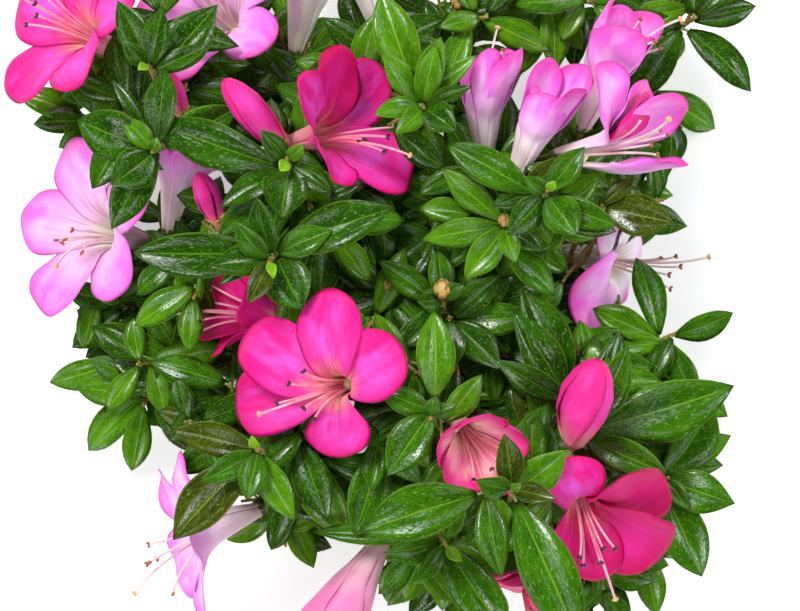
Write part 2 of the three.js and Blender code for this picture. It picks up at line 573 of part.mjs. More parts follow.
// The place on a twig's faceted axis that is this far down from its end
function downFromEnd(curve, below) {
  let left = below;
  let upper = curve.getPoint(1);
  for (let i = twigSteps - 1; i > 0; i -= 1) {
    const lower = curve.getPoint(i / twigSteps);
    const long = upper.distanceTo(lower);
    if (left < long) return upper.lerp(lower, left / long);
    left -= long;
    upper = lower;
  }
  return upper;
}

// The leaves of one whorl, each lifted until it is clear of everything but its twig, or skipped
function growWhorl(mass, twig, seed) {
  const random = seeded(seed);
  const owner = `leaves_${mass}`;
  const list = leavesOf(twig.whorl, random);
  const byReach = [...list].sort((a, b) => a[1] - b[1]);
  const rootsOfAll = [twig.entry, massStems[mass].entry];
  list.forEach((each) => {
    const [bearing, reach, wide] = each;
    const young = (1 - reach / byReach.at(-1)[1]) ** 1.5;
    const grown = twig.whorl.leaves ? listedLift : ruleLift;
    const rest = grown + youngLift * young + liftSpread * (random() - 0.5);
    const roll = degrees(rollSpread * (random() - 0.5));
    const below = highestLeaf + leafSpacing * byReach.indexOf(each);
    const root = downFromEnd(twig.curve, below);
    const make = (lift, extra) => leaf(root, degrees(bearing), lift, roll, reach, wide, extra);
    const clear = (lift) => !blocker(make(lift, margin), (entry) => entry.owner !== owner)
      && !blocker(make(lift, 0), (entry) => entry.owner === owner && !rootsOfAll.includes(entry));
    const touching = -Math.asin(Math.min(root.z / reach, 1));
    const lifts = liftTrials.map((more) => Math.max(degrees(rest + more), touching));
    const lift = (root.z < lowWhorl ? [touching, ...lifts] : lifts)
      .find((trial) => clear(trial) && shortestEdge(make(trial, 0).add(twig.entry.made)) > leastEdge);
    if (lift !== undefined) claim(owner, make(lift, 0));
  });
}

// Listed whorls grow before those by rule
const named = [...Object.keys(blooms), ...Object.keys(whorls)];
[true, false].forEach((listed) => {
  Object.entries(twigsOf).forEach(([mass, twigs]) => {
    twigs.filter((twig) => twig.whorl && Boolean(twig.whorl.leaves) === listed)
      .forEach((twig) => growWhorl(mass, twig, 50 + named.indexOf(twig.whorl.name)));
  });
});
Object.keys(massStems).forEach((mass) => {
  const parts = taken.filter((entry) => entry.owner === `leaves_${mass}`).map((entry) => entry.made);
  addMesh(`leaves_${mass}`, whole(wasm.Manifold.union(parts)), finish.leaf);
});

// The origin is on the surface, under the middle of the branch
const bounds = new THREE.Box3().setFromObject(branch);
const middle = bounds.getCenter(new THREE.Vector3());
branch.position.set(-middle.x, -middle.y, -bounds.min.z);

export default branch;
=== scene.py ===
# A flowering azalea branch, as cut: bark, twigs, leaves, blooms and buds grown on its packed limbs.
# Lengths are in millimetres of the branch's own layout, and become metres when a mesh is made.
import functools
import itertools
import json
import math
import bpy
import numpy as np
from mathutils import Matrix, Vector
from mathutils.bvhtree import BVHTree


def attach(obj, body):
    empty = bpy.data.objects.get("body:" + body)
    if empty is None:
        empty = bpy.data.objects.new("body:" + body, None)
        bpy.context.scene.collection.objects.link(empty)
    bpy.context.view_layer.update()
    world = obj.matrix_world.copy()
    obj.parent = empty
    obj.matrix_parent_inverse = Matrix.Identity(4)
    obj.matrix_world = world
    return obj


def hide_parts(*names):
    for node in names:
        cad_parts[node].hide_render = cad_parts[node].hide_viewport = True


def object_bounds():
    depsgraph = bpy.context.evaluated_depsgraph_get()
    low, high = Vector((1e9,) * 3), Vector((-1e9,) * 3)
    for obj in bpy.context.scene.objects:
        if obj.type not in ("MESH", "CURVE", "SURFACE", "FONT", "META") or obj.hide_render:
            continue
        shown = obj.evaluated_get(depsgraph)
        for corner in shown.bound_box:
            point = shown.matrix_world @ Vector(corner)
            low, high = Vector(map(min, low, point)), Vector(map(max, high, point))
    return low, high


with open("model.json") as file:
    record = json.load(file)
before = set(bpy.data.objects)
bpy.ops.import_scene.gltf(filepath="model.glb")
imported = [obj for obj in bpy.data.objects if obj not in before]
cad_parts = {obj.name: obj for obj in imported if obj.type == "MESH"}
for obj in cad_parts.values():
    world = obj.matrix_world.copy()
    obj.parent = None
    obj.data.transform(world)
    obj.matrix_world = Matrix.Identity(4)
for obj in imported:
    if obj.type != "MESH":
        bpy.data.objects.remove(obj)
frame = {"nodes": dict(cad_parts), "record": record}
cadBox = [list(corner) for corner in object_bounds()]

# The layout that the limbs, masses, blooms and buds grow by
stemLine = [[52, 130, 14], [42, 92, 20], [26, 55, 26], [12, 18, 30], [4, -18, 32], [2, -46, 31]]

# Boughs: how far up the layout each leaves the stem, and its tip
boughs = {
    "top_right": [96, [64, 74, 24]], "top_left_back": [84, [-26, 66, 14]], "top_middle": [68, [7, 60, 40]],
    "upper_left": [54, [-50, 52, 34]], "upper_right": [42, [33, 27, 42]], "right_upper": [28, [44, 12, 22]],
    "left_front": [16, [-20, 24, 42]], "centre": [4, [13, -5, 44]], "left_heart": [-4, [-12, -6, 32]],
    "left_back": [-13, [-56, -10, 20]], "right_middle": [-20, [38, -24, 40]],
    "right_lower": [-27, [58, -50, 30]], "lower_left": [-34, [-28, -44, 38]],
    "lower_front": [-41, [21, -52, 48]],
}

# Blooms: mass, middle of the throat, axis, size, the turn of the stamens, form and the petals' finish.
# Then the petals: the first one's turn and how far they flare, or for each its turn, flare, length and
# width as shares of the usual, how far it lies over its neighbours, and its own finish if it has one.
blooms = {
    "centre": ["left_heart", [-16.4, -22.1, 66], [-0.33, -0.08, 0.94], 1, 195, "deep", "deep",
        [[87, 84, 1, 0.72, 2.2], [29, 80, 0.88, 0.82, 0.8], [-88, 86, 0.68, 0.78, -2],
        [191, 88, 1.12, 0.84, -1.6], [147, 79, 1.04, 0.84, 1.4]]],
    "upper": ["left_front", [-23.8, 46.4, 60], [0.7, 0.14, 0.7], 1, 222, "deep", "deep",
        [[4, 62, 0.92, 0.76, 1.5, "crimson"], [318, 64, 0.98, 0.8, -1.2], [240, 66, 1.06, 0.8, 0],
        [150, 44, 0.85, 0.62, 0.8], [60, 54, 0.98, 0.6, 1.2]]],
    "behind": ["left_heart", [-36, -3, 48], [-0.85, 0.3, 0.35], 1, 120, "deep", "crimson",
        [[180, 48, 0.72, 0.6, 0], [120, 44, 0.8, 0.6, 0.3], [55, 42, 0.75, 0.6, 0], [0, 46, 0.8, 0.6, 0.3],
        [275, 36, 0.6, 0.6, 0]]],
    "pale_left": ["upper_right", [23.5, 52, 53], [-0.05, 0.93, 0.32], 0.9, 60, "pale", "pale",
        [[285, 8, 0.92, 0.52, -0.8], [328, 24, 0.94, 0.7, 0.5], [40, 22, 0.8, 0.6, -0.3],
        [120, 4, 0.7, 0.6, 0], [208, -12, 0.6, 0.6, 0.3]]],
    "pale_folded": ["upper_right", [36, 46, 65], [0.36, 0.87, 0.3], 0.9, None, "pale", "pale",
        [[264, 10, 0.62, 0.9, -1], [330, 14, 0.8, 0.7, 0.3], [40, 14, 0.98, 0.7, -0.4],
        [115, 8, 0.9, 0.6, 0.4], [192, 0, 0.6, 0.7, 0.6]]],
    "pale_top": ["upper_right", [56, 62, 54], [0.33, 0.86, 0.38], 1, -30, "pale", "pale",
        [[262, 24, 0.84, 0.72, -0.6], [325, 16, 0.7, 0.7, 0.6], [30, 14, 0.86, 0.78, 0],
        [92, 12, 0.8, 0.6, 0.4], [165, 0, 0.95, 0.42, 0]]],
    "pale_right": ["upper_right", [55, 42, 66], [0.86, 0.05, 0.5], 1, 60, "pale", "pale",
        [[30, 86, 0.86, 0.92, 0.7], [352, 50, 0.74, 0.74, 0], [320, 34, 0.92, 0.62, -0.7],
        [186, 0, 0.94, 0.9, 0.3], [4, 44, 0.64, 0.72, 2, "deep"]]],
    "white": ["right_upper", [60.5, 12.7, 26], [0.85, -0.25, 0.45], 1, -60, "pale", "white",
        [[114, 98, 0.98, 1, 0.4, "pale"], [218, 98, 0.55, 0.5, 0], [300, 98, 0.6, 0.5, 0],
        [14, 80, 0.55, 0.46, 0.2], [66, 92, 0.55, 0.5, 0]]],
    "half_open": ["centre", [17.5, -34, 64], [0.3, -0.4, 0.87], 0.8, -60, "deep", "cream", [15, 34]],
    "lower_right": ["right_middle", [49, -52, 68], [0.25, -0.75, 0.6], 1, 276, "deep", "crimson",
        [[24, 88, 0.84, 1.16, 0.9], [326, 56, 1, 1.1, 0], [276, 50, 0.88, 0.7, -0.8],
        [212, 46, 0.9, 0.76, 0], [104, 108, 0.72, 0.7, 1.2, "deep"]]],
    "faded": ["right_lower", [39, -72, 50], [-0.3, -0.9, 0.2], 0.7, 0, "deep", "faded",
        [[172, 64, 0.86, 0.9, 0.3], [118, 50, 0.8, 0.8, 0], [236, 60, 0.9, 0.8, -0.3],
        [50, 16, 0.8, 0.6, 0], [310, 12, 0.8, 0.6, 0]]],
    "furled": ["bottom", [-10.7, -76, 46], [-0.5, -0.85, 0.15], 1, None, "pale", "furled", [30, 9]],
    "lilac": ["lower_left", [-52.5, -62.5, 46], [-0.88, -0.3, 0.35], 1, 140, "pale", "lilac",
        [[350, 92, 0.82, 0.56, 0.3], [48, 80, 0.82, 0.7, 0], [128, 70, 0.86, 0.84, -0.3],
        [176, 76, 1.05, 0.44, 0.2], [262, 50, 0.6, 0.6, 0.5]]],
    "left_top": ["upper_left", [-87, 76, 42], [-0.6, 0.3, 0.7], 1, 60, "deep", "deep", [0, 70]],
    "left_middle": ["left_back", [-84.4, 21, 26], [-0.6, 0.1, 0.75], 1, 200, "pale", "lilac", [10, 70]],
    "left_back": ["left_back", [-66, 34, 20], [0.2, 0.95, 0.2], 0.9, 60, "pale", "pale", [10, 46]],
    "top_back": ["top_left_back", [-50, 82, 28], [-0.4, 0.35, 0.85], 0.9, 100, "pale", "pale", [30, 70]],
    "top_tube": ["top_left_back", [-28, 88, 22], [0.2, 0.96, 0.12], 1, 60, "pale", "white", [0, 22]],
    "top_edge": ["top_middle", [-8, 88, 48], [-0.25, 0.93, 0.26], 1, 60, "pale", "white", [20, 44]],
}

# Closed buds: mass, foot, tip and radius
buds = {
    "upper": ["left_front", [-31, 42.6, 65], [-48, 61.3, 75], 4.6],
    "right": ["lower_front", [46.4, -38, 74], [53, -14, 82], 7.2],
    "left_top": ["upper_left", [-60, 52, 55], [-64.2, 65, 60], 2.6],
    "left_deep": ["left_front", [-50, 22, 54], [-56, 37, 60], 3.6],
}

# Whorls: mass, the twig's end, and its leaves: bearing, reach, and width where it isn't the usual, or
# their number and reach by rule. Those in front have how light they are, from 0 to 1, then olive.
whorls = {
    "heart": ["left_front", [-35.3, 11.6, 80], [[180, 39, 13], [-173, 16, 9], [134, 13], [105, 16],
        [20, 17, 8.5], [19, 34, 13], [-63, 17, 13], [-72, 5, 3], [-117, 13], [-153, 16, 5]], 0.3],
    "under_bud": ["left_front", [-30.6, 39.9, 74], [[161, 39, 13], [129, 11], [43, 6], [-117, 4, 4],
        [-100, 15, 13], [-149, 22, 8], [-33, 14]], 0.2],
    "left_top": ["upper_left", [-68.4, 65.5, 72], [[134, 9], [77, 17], [47, 26, 13], [25, 17, 6], [113, 22],
        [-142, 3, 3]], 0.4],
    "left_fan": ["upper_left", [-67.2, 41.6, 73], [[162, 22, 14], [84, 22, 9], [124, 23, 4.5], [130, 12],
        [-138, 15, 12], [-123, 26, 11], [63, 4, 4], [28, 24, 12]], 0.3],
    "top_fan": ["top_middle", [6.5, 53.7, 71], [[107, 33, 12], [54, 38, 13], [129, 17], [77, 16], [72, 19],
        [43, 20, 6], [21, 14, 5], [-167, 13], [-38, 11, 9], [-131, 11]], 0.8],
    "pale_fan": ["upper_right", [39.8, 31.1, 77], [[150, 30, 10], [89, 12, 7.5], [58, 3, 3], [50, 17, 8],
        [-55, 14, 10.5], [151, 7, 5], [-134, 15, 9], [-21, 21, 8]], 0.5],
    "mid_fan": ["upper_right", [28, 21.9, 70], [[-171, 24, 8], [-130, 19, 9], [-77, 11], [140, 24, 8],
        [72, 3, 3], [-34, 12]], 0.85],
    "right_long": ["right_upper", [55.6, 27.8, 62], [[-9, 29, 9], [24, 34, 14], [-13, 20, 12], [38, 12, 5]],
        1.1],
    "centre_back": ["centre", [11.3, 2.1, 64], [[146, 22, 8], [32, 7], [-176, 7, 7], [97, 15, 7.5],
        [-131, 17]], 0.3],
    "centre_mid": ["centre", [13.6, -3.2, 60], [[5, 24], [-43, 20, 10], [-90, 15, 9], [-166, 15], [43, 19]],
        0.3],
    "centre_low": ["centre", [8.3, -30.5, 77], [[88, 26, 11], [80, 6, 4.5], [159, 16], [-126, 22, 12],
        [26, 7], [-35, 13]], 0.6],
    "low_left": ["lower_left", [-38.5, -38.7, 76], [[164, 24], [-134, 34, 14], [-152, 17], [-102, 13, 8],
        [113, 4, 3], [-65, 21]], 0.5],
    "under_heart": ["lower_left", [-27.8, -36.2, 58], [[-71, 24, 11], [-66, 33, 13], [-103, 30, 9]], 0.3],
    "front_star": ["lower_front", [29.7, -48, 88], [[100, 16, 8], [37, 18, 10], [-10, 11], [166, 10, 7],
        [-64, 43, 15], [51, 3, 3]], 1.1],
    "long_low": ["lower_front", [23, -49.9, 78], [[-162, 35, 15], [-80, 23, 9]], 0.5],
    "right_fan": ["right_middle", [50.2, -36.3, 64], [[18, 45, 17], [-23, 25], [60, 27], [119, 24]], 0.6],
    "up_fan": ["right_middle", [48, -26.8, 58], [[110, 34, 13], [124, 29, 11], [64, 31, 12], [29, 24],
        [154, 24, 8]], 0.2],
    "far_right_fan": ["right_lower", [74.7, -48, 56], [[55, 26, 14], [-64, 30, 13], [-52, 10], [160, 8],
        [-17, 21, 12], [-122, 20]], 0.6],
    "fork_down": ["bottom", [13, -66.8, 58], [[-128, 12], [-45, 6, 4], [-55, 33, 14], [-170, 16, 9],
        [179, 36, 7], [63, 14]], 0.6],
    "stem_down": ["bottom", [-6.1, -35, 58], [[-104, 28, 12], [-49, 18], [-96, 16]], 0.5],
    "left_deep": ["left_back", [-62.9, -16.3, 36], [6, 24]],
    "left_edge": ["left_back", [-83.6, 1.6, 28], [6, 22]],
    "left_low": ["left_back", [-75, -28.7, 26], [6, 26]],
    "left_ground": ["left_back", [-66, 8, 12], [5, 24]],
    "heart_deep": ["left_heart", [-24, 8, 50], [5, 22]],
    "heart_under": ["left_heart", [-32, -20, 36], [5, 26]],
    "left_front_back": ["left_front", [-8, 32, 52], [6, 22]],
    "upper_left_deep": ["upper_left", [-78, 58, 48], [5, 24]],
    "upper_left_low": ["upper_left", [-86, 46, 30], [5, 24]],
    "upper_left_back": ["upper_left", [-68, 84, 44], [5, 22]],
    "hang_low": ["lower_left", [-34, -62, 24], [5, 20]],
    "lower_left_deep": ["lower_left", [-48, -34, 48], [5, 24]],
    "bottom_deep": ["bottom", [16, -74, 34], [5, 24]],
    "bottom_ground": ["bottom", [4, -66, 12], [5, 24]],
    "centre_deep": ["centre", [26, -12, 50], [5, 22]],
    "centre_left": ["centre", [-4, 4, 58], [5, 20]],
    "right_deep": ["right_middle", [62, -16, 42], [6, 26]],
    "right_back": ["right_middle", [78, -8, 46], [5, 22]],
    "right_ground": ["right_lower", [72, -40, 14], [5, 26]],
    "right_lower_deep": ["right_lower", [60, -70, 34], [6, 26]],
    "right_under": ["right_upper", [54, -4, 18], [5, 26]],
    "right_upper_back": ["right_upper", [70, 30, 34], [5, 24]],
    "upper_right_deep": ["upper_right", [18, 38, 48], [5, 22]],
    "top_right_edge": ["top_right", [84, 82, 44], [6, 24]],
    "top_right_back": ["top_right", [42, 88, 44], [6, 26]],
    "top_right_ground": ["top_right", [76, 62, 14], [5, 26]],
    "top_middle_back": ["top_middle", [16, 84, 46], [5, 26]],
    "top_middle_left": ["top_middle", [-14, 64, 50], [5, 20]],
    "top_left_ground": ["top_left_back", [-56, 66, 14], [5, 24]],
    "centre_up": ["centre", [6, 22, 46], [5, 24]],
    "left_middle": ["left_front", [-58, 2, 52], [5, 22]],
}

# Sizes that the solids were grown with, and that the finer twigs and leaves keep to
grown = {
    "joint": 0.3, "stemFoot": 4.5, "stemTop": 1.8, "boughFoot": 1.9, "boughTip": 1.2, "twigFoot": 1,
    "twigTip": 0.7, "twigSteps": 3, "massStem": 7, "arm": 0.36, "leafBow": 0.07, "leafWidthBase": 3,
    "leafWidthShare": 0.27, "longLeaf": 22, "lowWhorl": 16, "leafSpacing": 1.1, "bloomLeaves": [3, 24],
    "goldenAngle": 137.5, "listedLift": 4, "ruleLift": -6, "youngLift": 50, "liftSpread": 12,
    "rollSpread": 36, "highestLeaf": 0.8, "leafFold": 0.12, "tubeLength": 15, "tubeFoot": 1.6,
    "tubeFloor": 9, "lobeLength": 27, "lobeWidth": 12.5, "pedicelLength": 5, "budPedicel": 4,
    "tubeSlope": 20, "stamenFan": 24, "stamenRise": [15, 21], "stamenAside": [3, 14], "boughRise": 0.35,
    "whorlRise": 0.9, "twigTurn": 1.2, "twigRoots": [0.25, 0.65],
    "pistil": [6, 26, 14],  # Its turn from the stamens' middle, its rise, and how far aside it ends
}
sideBends = [0, 5, -5, 10, -10, 15, -15]
upBends = [0, -6, 6, 12]
liftTrials = [0, 8, -8, 16, -16, 24, -24, 34]
sameCorner = 0.05  # How near a grown corner lies to a node's own
seeds = {
    "leaf": 50, "petal": 500, "bud": 600, "stem": 901, "bough": 910, "leafForm": 2000, "shoot": 3000,
    "finerLeaf": 9000, "trialLeaf": 7,
}
up = np.array([0.0, 0.0, 1.0])

# The mount on the cut end is where the stem's line starts, which ties the layout to the frame
layoutShift = np.array(frame["record"]["mounts"][0]["pos_m"]) * 1000 - np.array(stemLine[0])


# Seeded random numbers between 0 and 1, by the rule that the solids were grown with
def seeded(seed):
    state = 1000 + 7919 * seed

    def draw():
        nonlocal state
        state = state * 16807 % 2147483647
        return state / 2147483647

    draw()
    draw()
    return draw


def unit(vectors):
    return vectors / np.maximum(np.linalg.norm(vectors, axis=-1, keepdims=True), 1e-9)


def lerp(a, b, share):
    return a + (b - a) * share


# Eases from 0 to 1 as a value goes from one limit to the other
def ease(low, high, value):
    share = np.clip((value - low) / (high - low), 0, 1)
    return share * share * (3 - 2 * share)


# Points on a grid: a start, and along each direction its amount
def placed(start, *steps):
    return start + sum(amount[..., None] * direction for direction, amount in steps)


def runningSum(steps):
    return np.concatenate([[0], np.cumsum(steps)])


def lengthsOf(line):
    return runningSum(np.linalg.norm(np.diff(line, axis=0), axis=1))


# Points on a bow: its ends by the squares of 1 - t and t, and its knee by twice their product
def bow(start, knee, end, count):
    t = np.linspace(0, 1, count)[:, None]
    return (1 - t) ** 2 * start + 2 * (1 - t) * t * knee + t * t * end


# Points on a cubic curve with four control points: each control's weight is its Bernstein polynomial
def onCurve(curve, t):
    t = np.atleast_1d(t)[:, None]
    return ((1 - t) ** 3 * curve[0] + 3 * (1 - t) ** 2 * t * curve[1]
            + 3 * (1 - t) * t * t * curve[2] + t ** 3 * curve[3])


# Directions along that curve: the unit vectors of its derivative
def alongCurve(curve, t):
    t = np.atleast_1d(t)[:, None]
    a, b, c = np.diff(curve, axis=0)
    return unit((1 - t) ** 2 * a + 2 * (1 - t) * t * b + t * t * c)


# The level way across a chord, or the x axis where the chord stands nearly upright
def levelSide(chord):
    level = np.cross(chord, up)
    return level if np.linalg.norm(level) >= 0.2 * np.linalg.norm(chord) else np.array([1.0, 0, 0])


# A way from a start to an end whose middle is pushed aside and up, as the solids' twigs are
def wayOf(start, startWay, end, endWay, sideBend, upBend):
    arm = np.linalg.norm(end - start) * grown["arm"]
    push = unit(levelSide(end - start)) * sideBend + up * upBend
    return np.array([start, start + startWay * arm + push, end - endWay * arm + push * 0.5, end])


# Directions round a limb at each direction along it: its chord's level side, squared to the limb, and
# the way square to both, by the sine and cosine of the turn
def roundLimb(chord, along, sides):
    level = levelSide(chord)
    side = unit(level - along * (along @ level)[:, None])
    turn = 2 * np.pi * np.arange(sides)[:, None] / sides
    return side[:, None] * np.sin(turn) + np.cross(side, along)[:, None] * np.cos(turn)


# A node's corners in the layout
def nodePoints(mesh):
    points = np.empty(3 * len(mesh.vertices), np.float32)
    mesh.vertices.foreach_get("co", points)
    return points.reshape(-1, 3) * 1000.0 - layoutShift


@functools.cache
def nodeCloud(node):
    return np.unique(nodePoints(frame["nodes"][node].data), axis=0)


# How far each point lies from the nearest corner of a node
def gapTo(points, node):
    return np.sqrt(((points[:, None] - nodeCloud(node)[None]) ** 2).sum(-1).min(1))


# The trial way that a packed limb took: the one whose faceted corners lie nearest to the node's own
def takenWay(node, start, startWay, end, endWay, radii, sides, shares):
    best = None
    radius = lerp(*radii, np.array(shares))[:, None, None]
    for upBend in upBends:
        for sideBend in sideBends:
            curve = wayOf(start, startWay, end, endWay, sideBend, upBend)
            ring = roundLimb(curve[3] - curve[0], alongCurve(curve, shares), sides)
            corners = (onCurve(curve, shares)[:, None] + ring * radius).reshape(-1, 3)
            gap = np.sort(gapTo(corners, node))[:3].max()
            if best is None or gap < best[0] - 1e-3:
                best = (gap, curve)
    if best[0] > sameCorner:
        print(f"a limb lies {best[0]:.2f} mm off {node}")
    return best[1]


# The stem's line: a centripetal spline through its points, with steps by the fourth root of the
# squared distance and one mirrored point past each end
def stemPoints(count):
    line = np.array(stemLine, float)
    line = np.vstack([2 * line[0] - line[1], line, 2 * line[-1] - line[-2]])
    at = np.linspace(0, len(stemLine) - 1, count)
    piece = np.minimum(at.astype(int), len(stemLine) - 2)
    share = (at - piece)[:, None]
    a, b, c, d = (line[piece + k] for k in range(4))
    before, middle, after = (np.sqrt(np.linalg.norm(q - p, axis=1))[:, None]
                             for p, q in ((a, b), (b, c), (c, d)))
    startSlope = ((b - a) / before - (c - a) / (before + middle) + (c - b) / middle) * middle
    endSlope = ((c - b) / middle - (d - b) / (middle + after) + (d - c) / after) * middle
    square = -3 * b + 3 * c - 2 * startSlope - endSlope
    cube = 2 * b - 2 * c + startSlope + endSlope
    return b + startSlope * share + square * share ** 2 + cube * share ** 3


# Surfaces that become one piece, each with its own patch of the piece's layout coordinates
class Heap:
    def __init__(self):
        self.points, self.triangles, self.corners, self.slots = [], [], [], []
        self.count = 0

    # Takes a closed surface in and turns its faces outwards: its volume by its triangles is above 0
    def add(self, points, triangles, corners=0.5, slot=0):
        corners = np.broadcast_to(corners, (len(triangles), 3, 2))
        a, b, c = (points[triangles[:, k]] for k in range(3))
        if np.einsum("ij,ij->i", a, np.cross(b, c)).sum() < 0:
            triangles = triangles[:, ::-1]
            corners = corners[:, ::-1]
        self.points.append(points)
        self.triangles.append(triangles + self.count)
        self.corners.append(corners)
        self.slots.append(np.full(len(triangles), slot, np.int32))
        self.count += len(points)

    def arrays(self):
        return np.vstack(self.points), np.vstack(self.triangles)

    # Makes the piece: metres in the frame, smooth faces, layout coordinates at each face's corners
    def make(self, name, finishes, recordSlot, nodes=()):
        points, triangles = self.arrays()
        mesh = bpy.data.meshes.new(name)
        mesh.from_pydata(((points + layoutShift) / 1000).tolist(), [], triangles.tolist(), shade_flat=False)
        mesh.polygons.foreach_set("material_index", np.concatenate(self.slots))
        layout = mesh.uv_layers.new(name="layout")
        layout.data.foreach_set("uv", np.vstack(self.corners).astype(np.float32).ravel())
        for finish in finishes:
            mesh.materials.append(finish)
        piece = bpy.data.objects.new(name, mesh)
        bpy.context.scene.collection.objects.link(piece)
        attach(piece, "root")
        if nodes:
            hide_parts(*nodes)
        print(f"{name}: {len(triangles)} triangles")


# Two triangles for each square of a grid of numbers or places
def gridFaces(grid):
    a, b, c, d = grid[:-1, :-1], grid[:-1, 1:], grid[1:, 1:], grid[1:, :-1]
    halves = [np.stack(half, 2) for half in ((a, b, c), (a, c, d))]
    return np.concatenate([half.reshape(-1, 3, *grid.shape[2:]) for half in halves])


# The triangles of a thin closed sheet on a grid: top faces, then bottom faces that share its rim.
# With a pole, the last row is one point. Gives vertex numbers and, for the layout, grid numbers.
@functools.cache
def sheetFaces(rows, columns, pole):
    grid = np.arange(rows * columns).reshape(rows, columns)
    top = grid.copy()
    if pole:
        top[-1] = top[-1, 0]
    bottom = top.copy()
    bottom[1:-1, 1:-1] = grid.size + np.arange((rows - 2) * (columns - 2)).reshape(rows - 2, -1)
    vertices = np.vstack([gridFaces(top), gridFaces(bottom)[:, ::-1]])
    places = np.vstack([gridFaces(grid), gridFaces(grid)[:, ::-1]])
    under = np.repeat([False, True], len(places) // 2)
    whole = (vertices != np.roll(vertices, 1, axis=1)).all(1)
    used, numbers = np.unique(vertices[whole], return_inverse=True)
    return used, numbers.reshape(-1, 3), places[whole], under[whole]


patches = itertools.count(3, 2)  # The middle of each surface's patch of the layout


# A thin closed sheet round a grid of middle points. Top and bottom stand half the thickness off it
# along its normals and meet at the rim. Its layout is one patch two wide: across is -1 to 1 in the
# patch, along is above 0 on the top face and below 0 on the bottom face.
def addSheet(heap, grid, thickness, across, along, pole=True, slot=0):
    used, triangles, places, under = sheetFaces(*grid.shape[:2], pole)
    normal = np.cross(np.gradient(grid, axis=0), np.gradient(grid, axis=1))
    if pole:
        normal[-1] = normal[-2]
    offset = unit(normal) * np.broadcast_to(thickness, grid.shape[:2])[..., None] / 2
    offset[[0, -1]] = 0
    offset[:, [0, -1]] = 0
    points = np.vstack([(grid + offset).reshape(-1, 3), (grid - offset)[1:-1, 1:-1].reshape(-1, 3)])
    spots = np.broadcast_arrays(next(patches) + np.clip(across, -0.98, 0.98), np.maximum(along, 0.001))
    corners = np.stack(spots, -1).reshape(-1, 2)[places]
    corners[..., 1] *= np.where(under, -1, 1)[:, None]
    heap.add(points[used], triangles, corners, slot)


# A closed skin over rings of points, with a point at each end
def addRings(heap, rings, ends, corners=0.5, slot=0):
    count, sides = rings.shape[:2]
    numbers = np.arange(count * sides).reshape(count, sides)
    numbers = np.hstack([numbers, numbers[:, :1]])
    foot = np.full(sides, count * sides)
    caps = [[foot, numbers[0, 1:], numbers[0, :-1]], [foot + 1, numbers[-1, :-1], numbers[-1, 1:]]]
    triangles = np.vstack([gridFaces(numbers), *(np.stack(cap, -1) for cap in caps)])
    heap.add(np.vstack([rings.reshape(-1, 3), ends]), triangles, corners, slot)


# A closed tube round a line: rings of its radius across it, closed by a point at each end.
# Relief is added to the radius at each ring and side. The first end takes its own slot.
def addTube(heap, line, radius, sides, relief=0, slot=0, endSlot=None, domed=True):
    along = unit(np.gradient(line, axis=0))
    wide = np.broadcast_to(radius, len(line))[:, None] + relief
    rings = line[:, None] + roundLimb(line[-1] - line[0], along, sides) * wide[..., None]
    dome = 0.5 if domed else 0
    ends = [line[k] + along[k] * sign * wide[k].mean() * dome for k, sign in ((0, -1), (-1, 1))]
    patch = next(patches)
    spots = np.broadcast_arrays(patch + np.linspace(-1, 1, sides + 1), lengthsOf(line)[:, None])
    cap = [[patch, 0], [patch + 1, 0], [patch + 1, 0]]
    corners = np.concatenate([gridFaces(np.stack(spots, -1)), np.broadcast_to(cap, (2 * sides, 3, 2))])
    addRings(heap, rings, ends, corners, slot)
    if endSlot is not None:
        heap.slots[-1][-2 * sides:-sides] = endSlot


# A closed oval on its own axes: a sphere's rings scaled to three half sizes
def addOval(heap, middle, along, side, long, wide, thick, slot=0, rings=5, sides=8):
    angle = np.linspace(0, np.pi, rings + 2)[1:-1, None, None]
    turn = 2 * np.pi * np.arange(sides)[:, None] / sides
    ring = side * wide * np.cos(turn) + np.cross(along, side) * thick * np.sin(turn)
    tip = along * long
    rings = middle - tip * np.cos(angle) + ring * np.sin(angle)
    addRings(heap, rings, [middle - tip, middle + tip], slot=slot)


